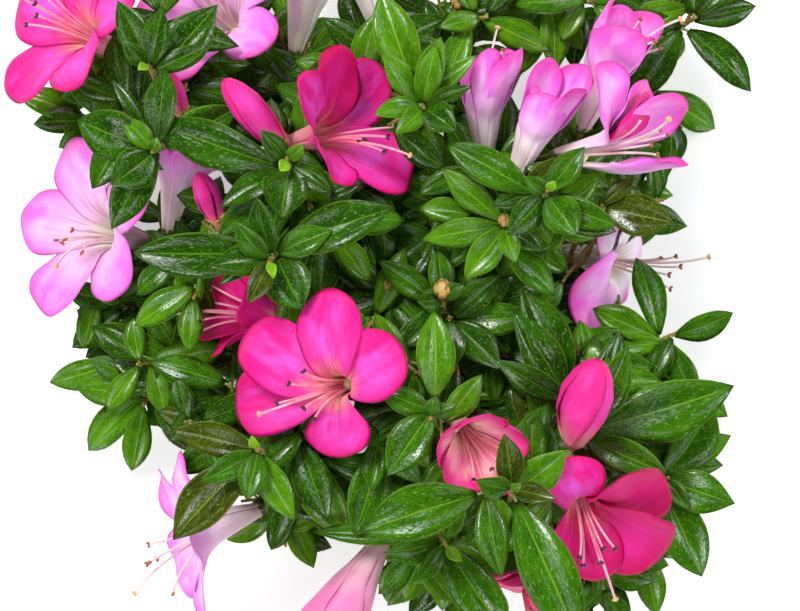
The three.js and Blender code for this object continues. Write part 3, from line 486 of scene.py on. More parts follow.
# Materials: a socket whose operators add Math nodes, and one method that adds any other node
class Value:
    def __init__(self, tree, socket=None):
        self.tree = tree
        self.socket = socket

    # Sets the node's settings and a ramp's stops first, then its sockets' values or links
    def node(self, kind, sockets, output=0, stops=(), **settings):
        made = self.tree.nodes.new("ShaderNode" + kind)
        for name, value in settings.items():
            setattr(made, name, value)
        if stops:
            made.color_ramp.elements.remove(made.color_ramp.elements[0])
        for k, (place, *tint) in enumerate(stops):
            stop = made.color_ramp.elements.new(place) if k else made.color_ramp.elements[0]
            stop.position = place
            stop.color = (*tint, 1)
        for name, value in sockets.items():
            if isinstance(value, Value):
                self.tree.links.new(value.socket, made.inputs[name])
            else:
                made.inputs[name].default_value = value
        return Value(self.tree, made.outputs[output] if made.outputs else None)

    def maths(self, operation, *values):
        return self.node("Math", dict(enumerate(values)), operation=operation)

    # An operator as a Math node, and its reflected form
    def operator(operation):
        return (lambda self, other: self.maths(operation, self, other),
                lambda self, other: self.maths(operation, other, self))

    __add__, __radd__ = operator("ADD")
    __sub__, __rsub__ = operator("SUBTRACT")
    __mul__, __rmul__ = operator("MULTIPLY")
    __lt__, __gt__ = operator("LESS_THAN")

    def __abs__(self):
        return self.maths("ABSOLUTE", self)

    # This value from one range to another, held at its limits
    def fit(self, low, high, to=0.0, upTo=1.0):
        return self.node("MapRange", {"Value": self, "From Min": low, "From Max": high, "To Min": to,
                                      "To Max": upTo})

    def top(self, other):
        return self.maths("MAXIMUM", self, other)

    # From one colour to another by this value
    def mix(self, *colours):
        first, second = (tint if isinstance(tint, Value) else (*tint, 1) for tint in colours)
        return self.node("Mix", {0: self, 6: first, 7: second}, 2, data_type="RGBA")

    def noise(self, x, y, detail):
        place = self.node("CombineXYZ", {"X": x, "Y": y})
        return self.node("TexNoise", {"Vector": place, "Scale": 1, "Detail": detail})

    # The distance to the nearest edge between cells: a net
    def net(self, x, y):
        place = self.node("CombineXYZ", {"X": x, "Y": y})
        return self.node("TexVoronoi", {"Vector": place, "Scale": 1}, feature="DISTANCE_TO_EDGE")

    def bump(self, height, strength, distance):
        return self.node("Bump", {"Height": height, "Strength": strength, "Distance": distance})


# The start of a material's nodes
def newMaterial(name):
    made = bpy.data.materials.new(name)
    made.use_nodes = True
    made.node_tree.nodes.clear()
    return Value(made.node_tree), made


def shaded(start, made, sockets):
    start.node("OutputMaterial", {"Surface": start.node("BsdfPrincipled", sockets)})
    return made


# A surface's layout coordinates: which patch, how far off its midline and along it, and whether this
# is its under face
def patchOf(start):
    layout = start.node("UVMap", {}, uv_map="layout")
    x, y = (start.node("SeparateXYZ", {"Vector": layout}, output) for output in (0, 1))
    half = x * 0.5
    return x, abs(half.maths("FRACT", half) * 2 - 1), abs(y), y < 0


# A leaf: midrib, side veins that curve forward and meet in loops, sparse pale hairs, and a pale rim
def leafMaterial(name, dark, light, vein, under, hairs):
    start, made = newMaterial(name)
    x, a, along, isUnder = patchOf(start)
    sway = start.noise(x * 1.1, along * 3, 2)
    rib = a.fit(0.015, 0.06, 1, 0)
    slant = along * 6.5 - a * 0.7 - a * a * 1.6 + sway * 1.1 + x * 0.31
    side = abs(start.maths("FRACT", slant) - 0.5).fit(0, 0.055, 1, 0) * a.fit(0.68, 0.84, 1, 0)
    loop = abs(a - 0.72 + start.maths("SINE", slant * 6.28) * 0.06).fit(0, 0.025, 1, 0)
    cells = start.net(a * 2.4 + x * 5.3, along * 12 - a * 1.9).fit(0, 0.05, 1, 0)
    veins = (rib * 0.85).top(side * 0.5).top(loop * 0.4).top(cells * 0.14)
    streaks = start.noise(x * 12, along * 14, 3)
    hair = start.noise(x * 15, along * 26 - a * 3, 1).fit(0.63, 0.7) * hairs
    specks = start.noise(x * 15, along * 30, 1)
    wax = start.noise(x * 2.3, along * 1.6, 1).fit(0.51, 0.62) * specks.fit(0.38, 0.58)
    blade = (sway + (streaks - 0.5) * 0.6).fit(0.32, 0.68).mix(dark, light)
    rimmed = (a.fit(0.88, 0.96) * 0.75).mix((veins * 0.8).mix(blade, vein), vein)
    haired = (hair * 0.6).mix(rimmed, (0.32, 0.5, 0.14))
    height = streaks * 0.35 - rib * 0.9 - side * 0.6 - loop * 0.4 - cells * 0.25 + hair * 0.2
    return shaded(start, made, {
        "Base Color": (isUnder * 0.8).mix(haired, under), "Roughness": streaks.fit(0.3, 0.7, 0.36, 0.52),
        "Normal": start.bump(height, 0.4, 0.0006), "Coat Weight": wax * (1 - isUnder),
        "Coat Roughness": 0.38, "Coat IOR": 2.3, "Specular IOR Level": 0.03,
    })


# A petal: colour from its foot to its tip, fine veins that fan along it, a painted sheen on the middle of
# each lobe in paler lilac patches of the middle tint, and flecks round the throat. Its outer face is a
# little paler.
def petalMaterial(name, stops, vein, veining, fleck, flecks, outer, middle=(1, 0.16, 0.62)):
    start, made = newMaterial(name)
    x, a, along, isUnder = patchOf(start)
    cloud = start.noise(x * 1.7, along * 3.2, 2)
    streaks = start.noise(x * 11, along * 2, 3)
    place = along + (cloud - 0.5) * 0.2 + a * 0.12 - 0.06
    base = start.node("ValToRGB", {"Fac": place}, stops=stops)
    # Painted sheen: paler lilac patches of the middle tint on the middle of each lobe, where a highlight
    # would fall
    paintedSheen = cloud.fit(0.38, 0.6) * a.fit(0.9, 0.4) * along.fit(0.45, 0.6) * along.fit(1, 0.8)
    veins = streaks.fit(0.5, 0.66) * along.fit(1, 0.45)
    veined = (veins * veining).mix((paintedSheen * 0.8).mix(base, middle), vein)
    dots = start.net(x * 8, along * 34).fit(0.3, 0.42)
    throat = along.fit(0.36, 0.44) * along.fit(0.66, 0.5) * a.fit(0.7, 0.3)
    blush = dots.top(streaks.fit(0.46, 0.6) * 0.7) * throat * isUnder.fit(0, 1, flecks, 0)
    flecked = blush.mix(veined, fleck)
    height = streaks * 0.5 + cloud * 0.6 - a.fit(0, 0.1, 1, 0) * 0.2
    return shaded(start, made, {
        "Base Color": (isUnder * 0.5).mix(flecked, outer) if outer else flecked,
        "Roughness": cloud.fit(0.3, 0.7, 0.39, 0.57), "Normal": start.bump(height, 0.3, 0.0008),
        "Specular IOR Level": 0.15,
    })


# A small part of one colour with a little life in it
def plainMaterial(name, low, high, scale, roughness, strength=0.2, glow=0.0):
    start, made = newMaterial(name)
    place = start.node("TexCoord", {}, 3)
    cloud = start.node("TexNoise", {"Vector": place, "Scale": scale, "Detail": 3})
    return shaded(start, made, {
        "Base Color": cloud.fit(0.35, 0.65).mix(low, high), "Emission Strength": glow,
        "Roughness": cloud.fit(0.3, 0.7, roughness - 0.08, roughness + 0.1),
        "Normal": start.bump(cloud, strength, 0.0004),
    })


# Bark: long furrows along the limb, with paler flakes
def barkMaterial():
    start, made = newMaterial("bark")
    x, _, along, _ = patchOf(start)
    furrows = start.noise(x * 7, along * 0.22, 5)
    flakes = start.noise(x * 3, along * 0.5, 2).fit(0.55, 0.66)
    base = furrows.fit(0.35, 0.65).mix((0.05, 0.03, 0.018), (0.2, 0.13, 0.07))
    return shaded(start, made, {
        "Base Color": (flakes * 0.45).mix(base, (0.3, 0.27, 0.2)),
        "Roughness": furrows.fit(0.3, 0.7, 0.72, 0.92),
        "Normal": start.bump(furrows + flakes * 0.3, 0.8, 0.0012),
    })


# The cut wood: rings round its middle, with a green line under the bark
def cutMaterial():
    start, made = newMaterial("cut wood")
    a = patchOf(start)[1]
    rings = start.maths("SINE", a * 34)
    wood = rings.fit(-1, 1).mix((0.55, 0.4, 0.2), (0.72, 0.58, 0.36))
    return shaded(start, made, {
        "Base Color": a.fit(0.86, 0.92).mix(wood, (0.22, 0.32, 0.08)),
        "Roughness": rings.fit(-1, 1, 0.7, 0.82), "Normal": start.bump(rings, 0.3, 0.0003),
    })

print("bark")
bark = {
    "rings": 220, "sides": 36, "depth": 0.16, "boughRings": 46, "boughSides": 16, "boughDepth": 0.07,
    "collar": 0.68, "collarReach": 0.07,
    "furrows": [(3, 34, 0.5), (5, 21, 0.6), (8, 15, 0.7), (11, 8, 0.45), (2, 5, 0.3)],
}
barkHeap = Heap()


# A limb of the bark. Its relief is a sum of waves round it and along it: furrows that wander.
def addLimb(line, radius, sides, depth, seed, **ends):
    draw = seeded(seed)
    turn = 2 * np.pi * np.arange(sides) / sides
    length = lengthsOf(line)[:, None]
    relief = 0
    for ways, pitch, share in bark["furrows"]:
        sway = 0.8 * np.sin(length / (pitch * 0.6) + 6 * draw())
        around = np.sin(ways * turn + sway + 6 * draw())
        relief = relief + share * around * np.sin(length / pitch * 6 + 6 * draw())
    addTube(barkHeap, line, radius, sides, depth * relief, **ends)


stem = stemPoints(bark["rings"])
stemShare = lengthsOf(stem) / lengthsOf(stem)[-1]
addLimb(stem, lerp(grown["stemFoot"], grown["stemTop"], stemShare), bark["sides"], bark["depth"],
        seeds["stem"], endSlot=1, domed=False)

# Boughs run on from inside the stem, through their own line, into the short stem of their mass
stemEnd = unit(stem[-1] - stem[-2])
massStems = {"bottom": (stem[-1] + stemEnd * grown["joint"], stemEnd)}
finePoints = stemPoints(401)
for index, (mass, (height, tip)) in enumerate(boughs.items()):
    foot = finePoints[np.argmin(abs(finePoints[:, 1] - height))]
    end = np.array(tip, float)
    startWay = unit(end - foot)
    endWay = unit(startWay + up * grown["boughRise"])
    curve = takenWay("bough_" + mass, foot, startWay, end, endWay, (grown["boughFoot"], grown["boughTip"]),
                     5, [4 / 6, 5 / 6])
    massStems[mass] = (end + endWay * grown["joint"], endWay)
    line = np.vstack([onCurve(curve, np.linspace(0, 1, bark["boughRings"])),
                      end + endWay * np.linspace(1, grown["massStem"], 7)[:, None]])
    share = np.linspace(0, 1, len(line))
    radius = lerp(grown["boughFoot"], grown["boughTip"] * 0.9, share)
    radius = radius + bark["collar"] * np.exp(-(share / bark["collarReach"]) ** 2)
    addLimb(line, radius, bark["boughSides"], bark["boughDepth"], seeds["bough"] + index)

# Petals: rows up the tube, up to the widest part, and over the round tip
petalPlan = {
    "tubeRows": 8, "lobeRows": 11, "tipRows": 8, "columns": 15, "thickness": 0.42,
    "throat": {"deep": 3.4, "pale": 4.8}, "tubeAngle": 0.8, "widest": 0.62, "growth": 1.15, "cup": 0.024,
    "wrap": 1.15, "tilt": 0.3, "ruffle": 0.55, "crease": 0.3, "recurve": 18, "openFlare": 40, "lowest": 0.3,
    "usualWidth": 0.78, "finishes": [None, "deep", "crimson", "pale"],
}


# A petal's middle line at some shares of its lobe: how far out, its rise and its slope. The slope goes
# from the tube's to the flare, and open petals bend back at the tip. The way out and the rise are the
# running sums of the slope's sine and cosine.
def petalLine(flare, throat, at):
    share = np.linspace(0, 1, 121)
    start = math.radians(grown["tubeSlope"])
    bend = petalPlan["recurve"] * (1 if flare > petalPlan["openFlare"] else -0.6)
    slope = start + (math.radians(flare) - start) * np.minimum(2.2 * share, 1)
    slope = slope + math.radians(bend) * ease(0.55, 1, share)
    middle = (slope[1:] + slope[:-1]) / 2
    step = grown["lobeLength"] * share[1]
    tables = throat + runningSum(np.sin(middle) * step), runningSum(np.cos(middle) * step), slope
    return (np.interp(at, share, table) for table in tables)


# Half a petal's width: a sine from the throat to the widest part, then a quarter of an ellipse,
# which the tip rows follow by mapping their square grid onto a half disc
def petalGrid(widest, throat):
    plan = petalPlan
    across = np.linspace(-1, 1, plan["columns"])[None, :]
    tube = np.linspace(0, 1, plan["tubeRows"], endpoint=False)[:, None]
    lobe = np.linspace(0, plan["widest"], plan["lobeRows"], endpoint=False)[:, None]
    tip = np.linspace(0, 1, plan["tipRows"])[:, None]
    foot = throat * plan["tubeAngle"]
    tubeHalf = lerp(grown["tubeFoot"], throat, tube) * plan["tubeAngle"]
    lobeHalf = foot + (widest - foot) * np.sin((lobe / plan["widest"]) ** plan["growth"] * np.pi / 2)
    half = np.vstack([tubeHalf, lobeHalf, 0 * tip + widest])
    tipped = np.vstack([0 * tube, 0 * lobe, tip])
    share = np.vstack([tube - 1, lobe, 0 * tip + plan["widest"]])
    share = share + (1 - plan["widest"]) * tipped * np.sqrt(1 - across ** 2 / 2)
    return share, across * half * np.sqrt(1 - tipped ** 2 / 2), half, across


# A bloom's or bud's directions at a turn round it: along its axis, out from it, and round it
def turned(axes, turn):
    along, first, second = axes
    radial = first * math.cos(turn) + second * math.sin(turn)
    return along, radial, np.cross(along, radial)


# The three directions of a bloom or bud: along its axis, and two across it
def axesOf(direction):
    along = unit(np.array(direction, float))
    guide = np.array([1.0, 0, 0]) if abs(along[0]) < 0.6 else np.array([0, 1.0, 0])
    first = unit(guide - along * (guide @ along))
    return along, first, np.cross(along, first)


# A petal: each cross line is an arc, as round as the tube at the foot and nearly flat at the tip.
# One side lies over its neighbour and the other under it, and the edges are ruffled.
def addPetal(heap, axes, foot, size, throat, draw, turn, flare, long, wide, over, finish=None):
    plan = petalPlan
    along, radial, tangent = turned(axes, math.radians(turn))
    share, side, half, across = petalGrid(grown["lobeWidth"] * wide, throat)
    lobeShare = np.maximum(share, 0)
    tubeShare = np.minimum(share + 1, 1)
    out, rise, slope = petalLine(flare, throat, lobeShare)
    tubeRadius = lerp(grown["tubeFoot"], throat, tubeShare)
    out = tubeRadius + (out - throat) * long
    height = grown["tubeLength"] * tubeShare + rise * long
    allowed = plan["wrap"] * out / np.maximum(np.cos(slope), 0.2)
    side = side * np.minimum(1, allowed / half)
    wave = 1 + 0.03 * np.sin(7 * share + 6 * draw()) * np.sign(across)
    wave = wave + 0.03 * np.sin(5 * share + 6 * draw())
    side = side * np.where(share > 0, wave, 1)
    curve = np.maximum(plan["cup"] * (0.4 + 1.2 * draw()), 0.92 * np.cos(slope) / out)
    bent = lerp(1 / tubeRadius, curve, ease(0, 0.3, share))
    edge = across ** 2 * ease(0.1, 0.5, share)
    lift = (1 - np.cos(bent * side)) / bent + plan["tilt"] * across * (1 - 0.5 * ease(0.5, 1, share))
    lift = lift + over * ease(0, 0.3, share)
    phase = 6 * draw()
    ruffle = plan["ruffle"] * (0.5 + draw())
    lift = lift + ruffle * edge * np.sin(11 * share + 1.8 * across + phase)
    lift = lift + 0.8 * ease(0.2, 0.9, share) * np.sin(2.4 * across + 4 * share + 6 * draw())
    crease = np.exp(-(across / 0.16) ** 2) * ease(-0.3, 0.1, share) * (1 - ease(0.5, 0.9, share))
    lift = lift - plan["crease"] * crease
    point = foot + size * placed(0, (along, height + np.sin(slope) * lift),
                                 (radial, out - np.cos(slope) * lift), (tangent, np.sin(bent * side) / bent))
    point[..., 2] = np.maximum(point[..., 2], plan["lowest"])
    way = grown["tubeLength"] * tubeShare + grown["lobeLength"] * lobeShare
    way = way / (grown["tubeLength"] + grown["lobeLength"])
    slot = plan["finishes"].index(finish)
    addSheet(heap, point, plan["thickness"] * size, across, way, pole=False, slot=slot)


# A filament's line: a bow out of the tube and round to its side
def filamentLine(axes, foot, size, turn, rise, aside):
    along, side, _ = turned(axes, math.radians(turn))
    tube = grown["tubeLength"]
    ends = [(grown["tubeFloor"] - 1.5, 1.4), (tube + rise * 0.6, aside * 0.1 + 1), (tube + rise, aside)]
    return bow(*(foot + along * height * size + side * out * size for height, out in ends), 14)


# A small scale: a pointed blade that clasps the axis at its foot
def addScale(heap, foot, axes, turn, out, long, wide, slope, shut=False):
    along, radial, tangent = turned(axes, turn)
    share = np.linspace(0, 1, 6)[:, None]
    across = np.linspace(-1, 1, 5)[None, :]
    half = wide / 2 * (0.55 + 0.9 * share) * np.sqrt(np.maximum(1 - share ** 2.2, 0))
    away = out + long * share * math.sin(slope) + long * 0.2 * share ** 2
    if shut:
        away = out * (1 + 0.9 * np.sin(np.pi * share) - 0.8 * share ** 3)
    clasp = half ** 2 * across ** 2 / (2.2 * max(out, 0.8))
    point = placed(foot, (along, long * share * math.cos(slope)), (radial, away - clasp),
                   (tangent, half * across))
    addSheet(heap, point, 0.25, across, share)


# A bloom's or bud's stalk, which swells to its top. It ends where a twig comes to meet it.
def addStalk(mass, along, foot, long, top, radii, **twig):
    end = foot - along * (long + grown["joint"])
    addTube(greens, lerp(end, top, np.linspace(0, 1, len(radii))[:, None]), radii, 8)
    twigEnds[mass].append({"end": end, "endWay": along, "light": [], **twig})


print("blooms")
filaments, anthers, greens, scales, twigs, stalks = (Heap() for kind in range(6))
petalHeaps = {}
twigEnds = {mass: [] for mass in massStems}
bloomPlan = {
    "filament": [0.46, 0.34], "anther": [0.72, 0.6, 0.5], "stigma": [0.6, 0.95, 0.95],
    "fans": {"centre": 36}, "ovary": [2.2, 0.55, 8.8], "stalk": [0.8, 0.75, 0.75, 0.8, 0.95, 1.3, 1.5],
    "sepals": 5, "sepalTurn": 1.2566, "sepal": [2.6, 2, 0.25],
}


# A bloom's stamens and pistil: a fan of filaments, each with two anthers or a stigma at its end
def addStamens(axes, foot, size, sweep, fan, slot, draw):
    threads = [(sweep + (k - 2) * fan, lerp(*grown["stamenRise"], draw()),
                lerp(*grown["stamenAside"], draw())) for k in range(5)]
    turn, *reach = grown["pistil"]
    threads.append((sweep + turn, *reach))
    for thread in threads:
        isPistil = thread is threads[-1]
        line = filamentLine(axes, foot, size, *thread)
        radius = lerp(*bloomPlan["filament"], np.linspace(0, 1, len(line)))
        addTube(filaments, line, radius * size * (1.1 if isPistil else 1), 6, slot=slot)
        way = unit(line[-1] - line[-2])
        side = unit(np.cross(way, axes[0]) + 1e-3)
        if isPistil:
            addOval(anthers, line[-1], way, side, *bloomPlan["stigma"], slot=2)
            continue
        anther = [part * size for part in bloomPlan["anther"]]
        for sign in (-1, 1):
            middle = line[-1] + side * sign * anther[1] * 0.55 + way * 0.2
            addOval(anthers, middle, unit(side + way * 0.5 * sign), way, *anther, slot=slot)


for index, (name, row) in enumerate(blooms.items()):
    mass, throatMiddle, axis, size, sweep, look, _, petals = row
    draw = seeded(index + 1)
    axes = axesOf(axis)
    along = axes[0]
    foot = np.array(throatMiddle, float) - along * grown["tubeLength"] * size
    throat = petalPlan["throat"][look]
    spread = [(draw() - 0.5, draw() - 0.5) for k in range(5)]
    if len(petals) == 2:
        petals = [[petals[0] + 72 * k, petals[1] + 12 * wider, 1 + 0.1 * longer, petalPlan["usualWidth"],
                   0.3 * (k % 2)] for k, (wider, longer) in enumerate(spread)]
    petalHeaps["petals_" + name] = Heap()
    detail = seeded(seeds["petal"] + index)
    for petal in petals:
        addPetal(petalHeaps["petals_" + name], axes, foot, size, throat, detail, *petal)
    if sweep is not None:
        fan = bloomPlan["fans"].get(name, grown["stamenFan"])
        addStamens(axes, foot, size, sweep, fan, int(look == "pale"), draw)
    # The ovary's pale top fills the middle of the tube, under the filaments
    long, share, rise = bloomPlan["ovary"]
    wide = throat * size * share
    addOval(greens, foot + along * rise * size, along, axes[1], long * size, wide, wide, slot=1)
    addStalk(mass, along, foot, grown["pedicelLength"] * size, foot, np.array(bloomPlan["stalk"]) * size,
             number=index, name="", leaves=grown["bloomLeaves"])
    long, wide, slope = bloomPlan["sepal"]
    for k in range(bloomPlan["sepals"]):
        addScale(greens, foot - along * 0.4, axes, bloomPlan["sepalTurn"] * k,
                 grown["tubeFoot"] * size * 0.9, long * size, wide * size, slope)

print("buds")
budPlan = {
    "wraps": 4, "spread": 1.35, "twist": 0.9, "step": 0.1, "rows": 18, "columns": 13,
    "body": [[0, 0.2, 0.42, 0.64, 0.84, 0.95, 1], [0.32, 0.66, 0.94, 1, 0.72, 0.36, 0.03]],
    "stalk": [0.75, 0.75, 0.8, 0.9, 1.2, 1.4], "scales": 7, "scale": [0.9, 4.6, 3, 0.32],
    "restingScales": 8, "spiral": 2.4,
}


# A closed bud: petals wrapped round a spindle, each from inside its one neighbour to outside the
# other, and the whole twisted a little
def addWraps(heap, axes, foot, long, radius, draw):
    plan = budPlan
    along, first, second = axes
    share = np.linspace(0, 1, plan["rows"])[:, None]
    across = np.linspace(-1, 1, plan["columns"])[None, :]
    for k in range(plan["wraps"]):
        start = 2 * np.pi * (k + 0.3 * draw()) / plan["wraps"]
        turn = start + across * plan["spread"] + plan["twist"] * share
        wide = radius * np.interp(share, *plan["body"]) * (0.93 + plan["step"] * across)
        wide = wide * (1 + 0.035 * np.sin(9 * across + 7 * share + 6 * draw()))
        height = long * (share - 0.2 * across ** 2 * share * (1 - share))
        point = placed(foot, (along, height), (first, wide * np.cos(turn)), (second, wide * np.sin(turn)))
        addSheet(heap, point, 0.4, across, 0.3 + 0.7 * share)


for index, (name, (mass, foot, tip, radius)) in enumerate(buds.items()):
    foot = np.array(foot, float)
    axes = axesOf(tip - foot)
    along = axes[0]
    heap = petalHeaps["closed_bud_" + name] = Heap()
    addWraps(heap, axes, foot, np.linalg.norm(tip - foot), radius, seeded(seeds["bud"] + index))
    addStalk(mass, along, foot, grown["budPedicel"], foot + along * 0.5, budPlan["stalk"],
             name="", leaves=[])
    for k in range(budPlan["scales"]):
        addScale(scales, foot - along * (1.6 - 0.25 * k), axes, budPlan["spiral"] * k, *budPlan["scale"])


# A resting bud at a shoot's end: scales in a spiral, each a little higher than the last
def addRestingBud(end, way, long, wide):
    axes = axesOf(way)
    count = budPlan["restingScales"]
    for k in range(count):
        foot = end + way * (0.35 * long * k / count - 0.6)
        addScale(scales, foot, axes, budPlan["spiral"] * k, wide * 0.36, long * (1 - 0.04 * k), wide * 0.95,
                 0, shut=True)


print("twigs")
restingBuds = {
    "centre_back": [6.5, 4], "top_middle_back": [5, 3], "centre_left": [5, 3], "mid_fan": [4, 2.4],
}
budLean = np.array([0.2, 0.9, 0.2])
for number, (name, (mass, end, leaves, *light)) in enumerate(whorls.items(), len(blooms)):
    base = boughs[mass][1] if mass in boughs else stem[-1]
    end = np.array(end, float)
    endWay = unit(unit(end - base) + up * grown["whorlRise"])
    twigEnds[mass].append({"end": end, "endWay": endWay, "number": number, "name": name, "leaves": leaves,
                           "light": light})
low, span = grown["twigRoots"]
for mass, (start, startWay) in massStems.items():
    for index, twig in enumerate(twigEnds[mass]):
        end, endWay = twig["end"], twig["endWay"]
        root = start + startWay * grown["massStem"] * (low + span * (index + 0.5) / len(twigEnds[mass]))
        firstWay = unit(startWay + grown["twigTurn"] * unit(end - root))
        curve = takenWay("leaves_" + mass, root, firstWay, end, endWay,
                         (grown["twigFoot"], grown["twigTip"]), 3, [1 / 3, 2 / 3])
        length = lengthsOf(onCurve(curve, np.linspace(0, 1, 20)))[-1]
        twig.update(curve=curve, length=length)
        if twig["name"] in restingBuds:
            addRestingBud(end, unit(0.35 * endWay + budLean), *restingBuds[twig["name"]])
        share = np.linspace(0, 1, 22)
        nodes = 1 + 0.1 * np.sin(share * length * 1.1 + index)
        radius = lerp(grown["twigFoot"], grown["twigTip"] * 0.85, share) * nodes
        addTube(twigs, onCurve(curve, share), radius, 8)

print("leaves")


def treeOf(points, triangles):
    return BVHTree.FromPolygons(points.tolist(), triangles.tolist())


# Whether a line of points meets the triangles of a tree
def crosses(tree, line):
    steps = np.diff(line, axis=0)
    return any(tree.ray_cast(Vector(start), Vector(step), float(np.linalg.norm(step)))[0] is not None
               for start, step in zip(line, steps))


flowers = Heap()
for heap in petalHeaps.values():
    flowers.add(*heap.arrays())
flowerTree = treeOf(*flowers.arrays())
leafPlan = {
    "rows": 14, "columns": 9, "farRows": 10, "farColumns": 5, "thickness": 0.3, "foot": 0.07, "lowest": 0.25,
    "stalk": 0.42, "fold": [0.42, 0.68], "arch": 0.22, "droop": 0.05, "sideways": 0.04, "wave": 0.09,
    "trials": 4, "shorter": 0.88, "narrower": 0.94,
}
leafHeaps = {tint: Heap() for tint in ("dark", "mid", "bright", "young", "olive")}
listedLeaves = Heap()


# A leaf's length, and its directions: along it, across it and out of its face
def leafAxes(bearing, lift, roll, reach):
    long = reach / math.cos(lift) if lift > 0 else reach
    flat = math.cos(lift)
    along = np.array([math.cos(bearing) * flat, math.sin(bearing) * flat, math.sin(lift)])
    level = unit(np.cross(up, along))
    side = level * math.cos(roll) + np.cross(along, level) * math.sin(roll)
    return long, along, side, np.cross(along, side)


# A leaf: half its width is a power of the share from its foot times a power of the share from its
# tip. It arches along its length, its halves fold up from the midrib and arch over, and its edge waves.
def leafGrid(root, bearing, lift, roll, reach, wide, draw, rows=7, columns=3):
    plan = leafPlan
    long, along, side, face = leafAxes(bearing, lift, roll, reach)
    share = lerp(plan["foot"], 1, np.linspace(0, 1, rows))[:, None]
    across = np.linspace(-1, 1, columns)[None, :]
    footPower = 1.1 + 0.3 * draw()
    tipPower = 0.95 + 0.25 * draw()
    widest = footPower / (footPower + tipPower)
    peak = widest ** footPower * (1 - widest) ** tipPower
    half = wide / 2 * share ** footPower * (1 - share) ** tipPower / peak
    half = np.maximum(half, plan["stalk"] * (1 - ease(0.9, 1, share)))
    droop = plan["droop"] * (2 * draw() - 0.4)
    rise = long * (grown["leafBow"] * np.sin(np.pi * share) - droop * share ** 3)
    rise = rise + half * (lerp(*plan["fold"], draw()) * abs(across) - plan["arch"] * across ** 2)
    phase = 6 * draw()
    rise = rise + plan["wave"] * half * across ** 2 * np.sin(11 * share + phase + 1.5 * np.sign(across))
    bend = plan["sideways"] * (2 * draw() - 1) * long * share ** 2
    point = placed(root, (along, long * share), (side, half * across + bend), (face, rise))
    point[..., 2] = np.maximum(point[..., 2], plan["lowest"])
    return point, across, share


# Adds a leaf, and a stalk from its shoot to its foot. A listed leaf has more rows and columns, and is
# kept apart too, so that the finer shoots can stand behind it.
def addLeaf(tint, curve, length, below, root, leaf, draw, listed):
    plan = leafPlan
    size = (plan["rows"], plan["columns"]) if listed else (plan["farRows"], plan["farColumns"])
    point, across, share = leafGrid(root, *leaf, draw, *size)
    thick = plan["thickness"] * (0.8 + 1.2 * np.exp(-(across / 0.2) ** 2))
    addSheet(leafHeaps[tint], point, thick, across, share)
    if listed:
        addSheet(listedLeaves, point, thick, across, share)
    start = onCurve(curve, 1 - min((below + 1.4) / length, 0.6))[0]
    line = bow(start, root * 0.7 + start * 0.3, point[0, size[1] // 2], 5)
    addTube(stalks, line, plan["stalk"] * np.linspace(1.25, 0.9, 5), 5, domed=False)


def usualWidth(reach):
    return grown["leafWidthBase"] + grown["leafWidthShare"] * reach


# The bearing, reach and width of each leaf of a whorl, listed or by rule
def leavesOf(leaves, draw):
    if isinstance(leaves[0], int):
        count, usual = leaves
        start = 360 * draw()
        leaves = [[start + grown["goldenAngle"] * k, usual * (0.7 + 0.45 * draw())] for k in range(count)]
    return [leaf if len(leaf) > 2 else [*leaf, usualWidth(leaf[1])] for leaf in leaves]


# The place on a packed twig's straight stretches that is this far down from its end
def downFromEnd(curve, below):
    corners = onCurve(curve, np.linspace(1, 0, grown["twigSteps"] + 1))[:-1]
    lengths = lengthsOf(corners)
    return np.array([np.interp(below, lengths, corners[:, k]) for k in range(3)])


# The few corners that a packed leaf shows: its tip and the sides of its widest stretch
def leafCorners(root, bearing, lift, roll, reach, wide):
    long, along, side, face = leafAxes(bearing, lift, roll, reach)
    spots = [(1, 0), (0.5, -1 / 0.866), (0.5, 1 / 0.866)]
    if reach > grown["longLeaf"]:
        spots = [(1, 0), *((share, sign) for share in (0.32125, 0.67875) for sign in (-1, 1))]
    share, across = np.array(spots).T
    half = across * wide / 2
    rise = long * grown["leafBow"] * np.sin(np.pi * share) + abs(half) * grown["leafFold"]
    points = placed(root, (along, long * share), (side, half), (face, rise))
    points[:, 2] = np.maximum(points[:, 2], 0)
    return points


# The tint of a leaf: young ones are bright, and the others follow their spray, with some chance. A
# spray is dark at 0 and bright at 1, with olive above that.
def tintOf(young, spray, draw):
    chance = draw()
    if young > 0.75:
        return "young" if chance < 0.7 else "bright"
    limits = [0.42, 0.78, 1] if chance < 0.72 else [0.78, 0.88, 0.95]
    return ["dark", "mid", "bright", "olive"][np.searchsorted(limits, spray if chance < 0.72 else chance)]


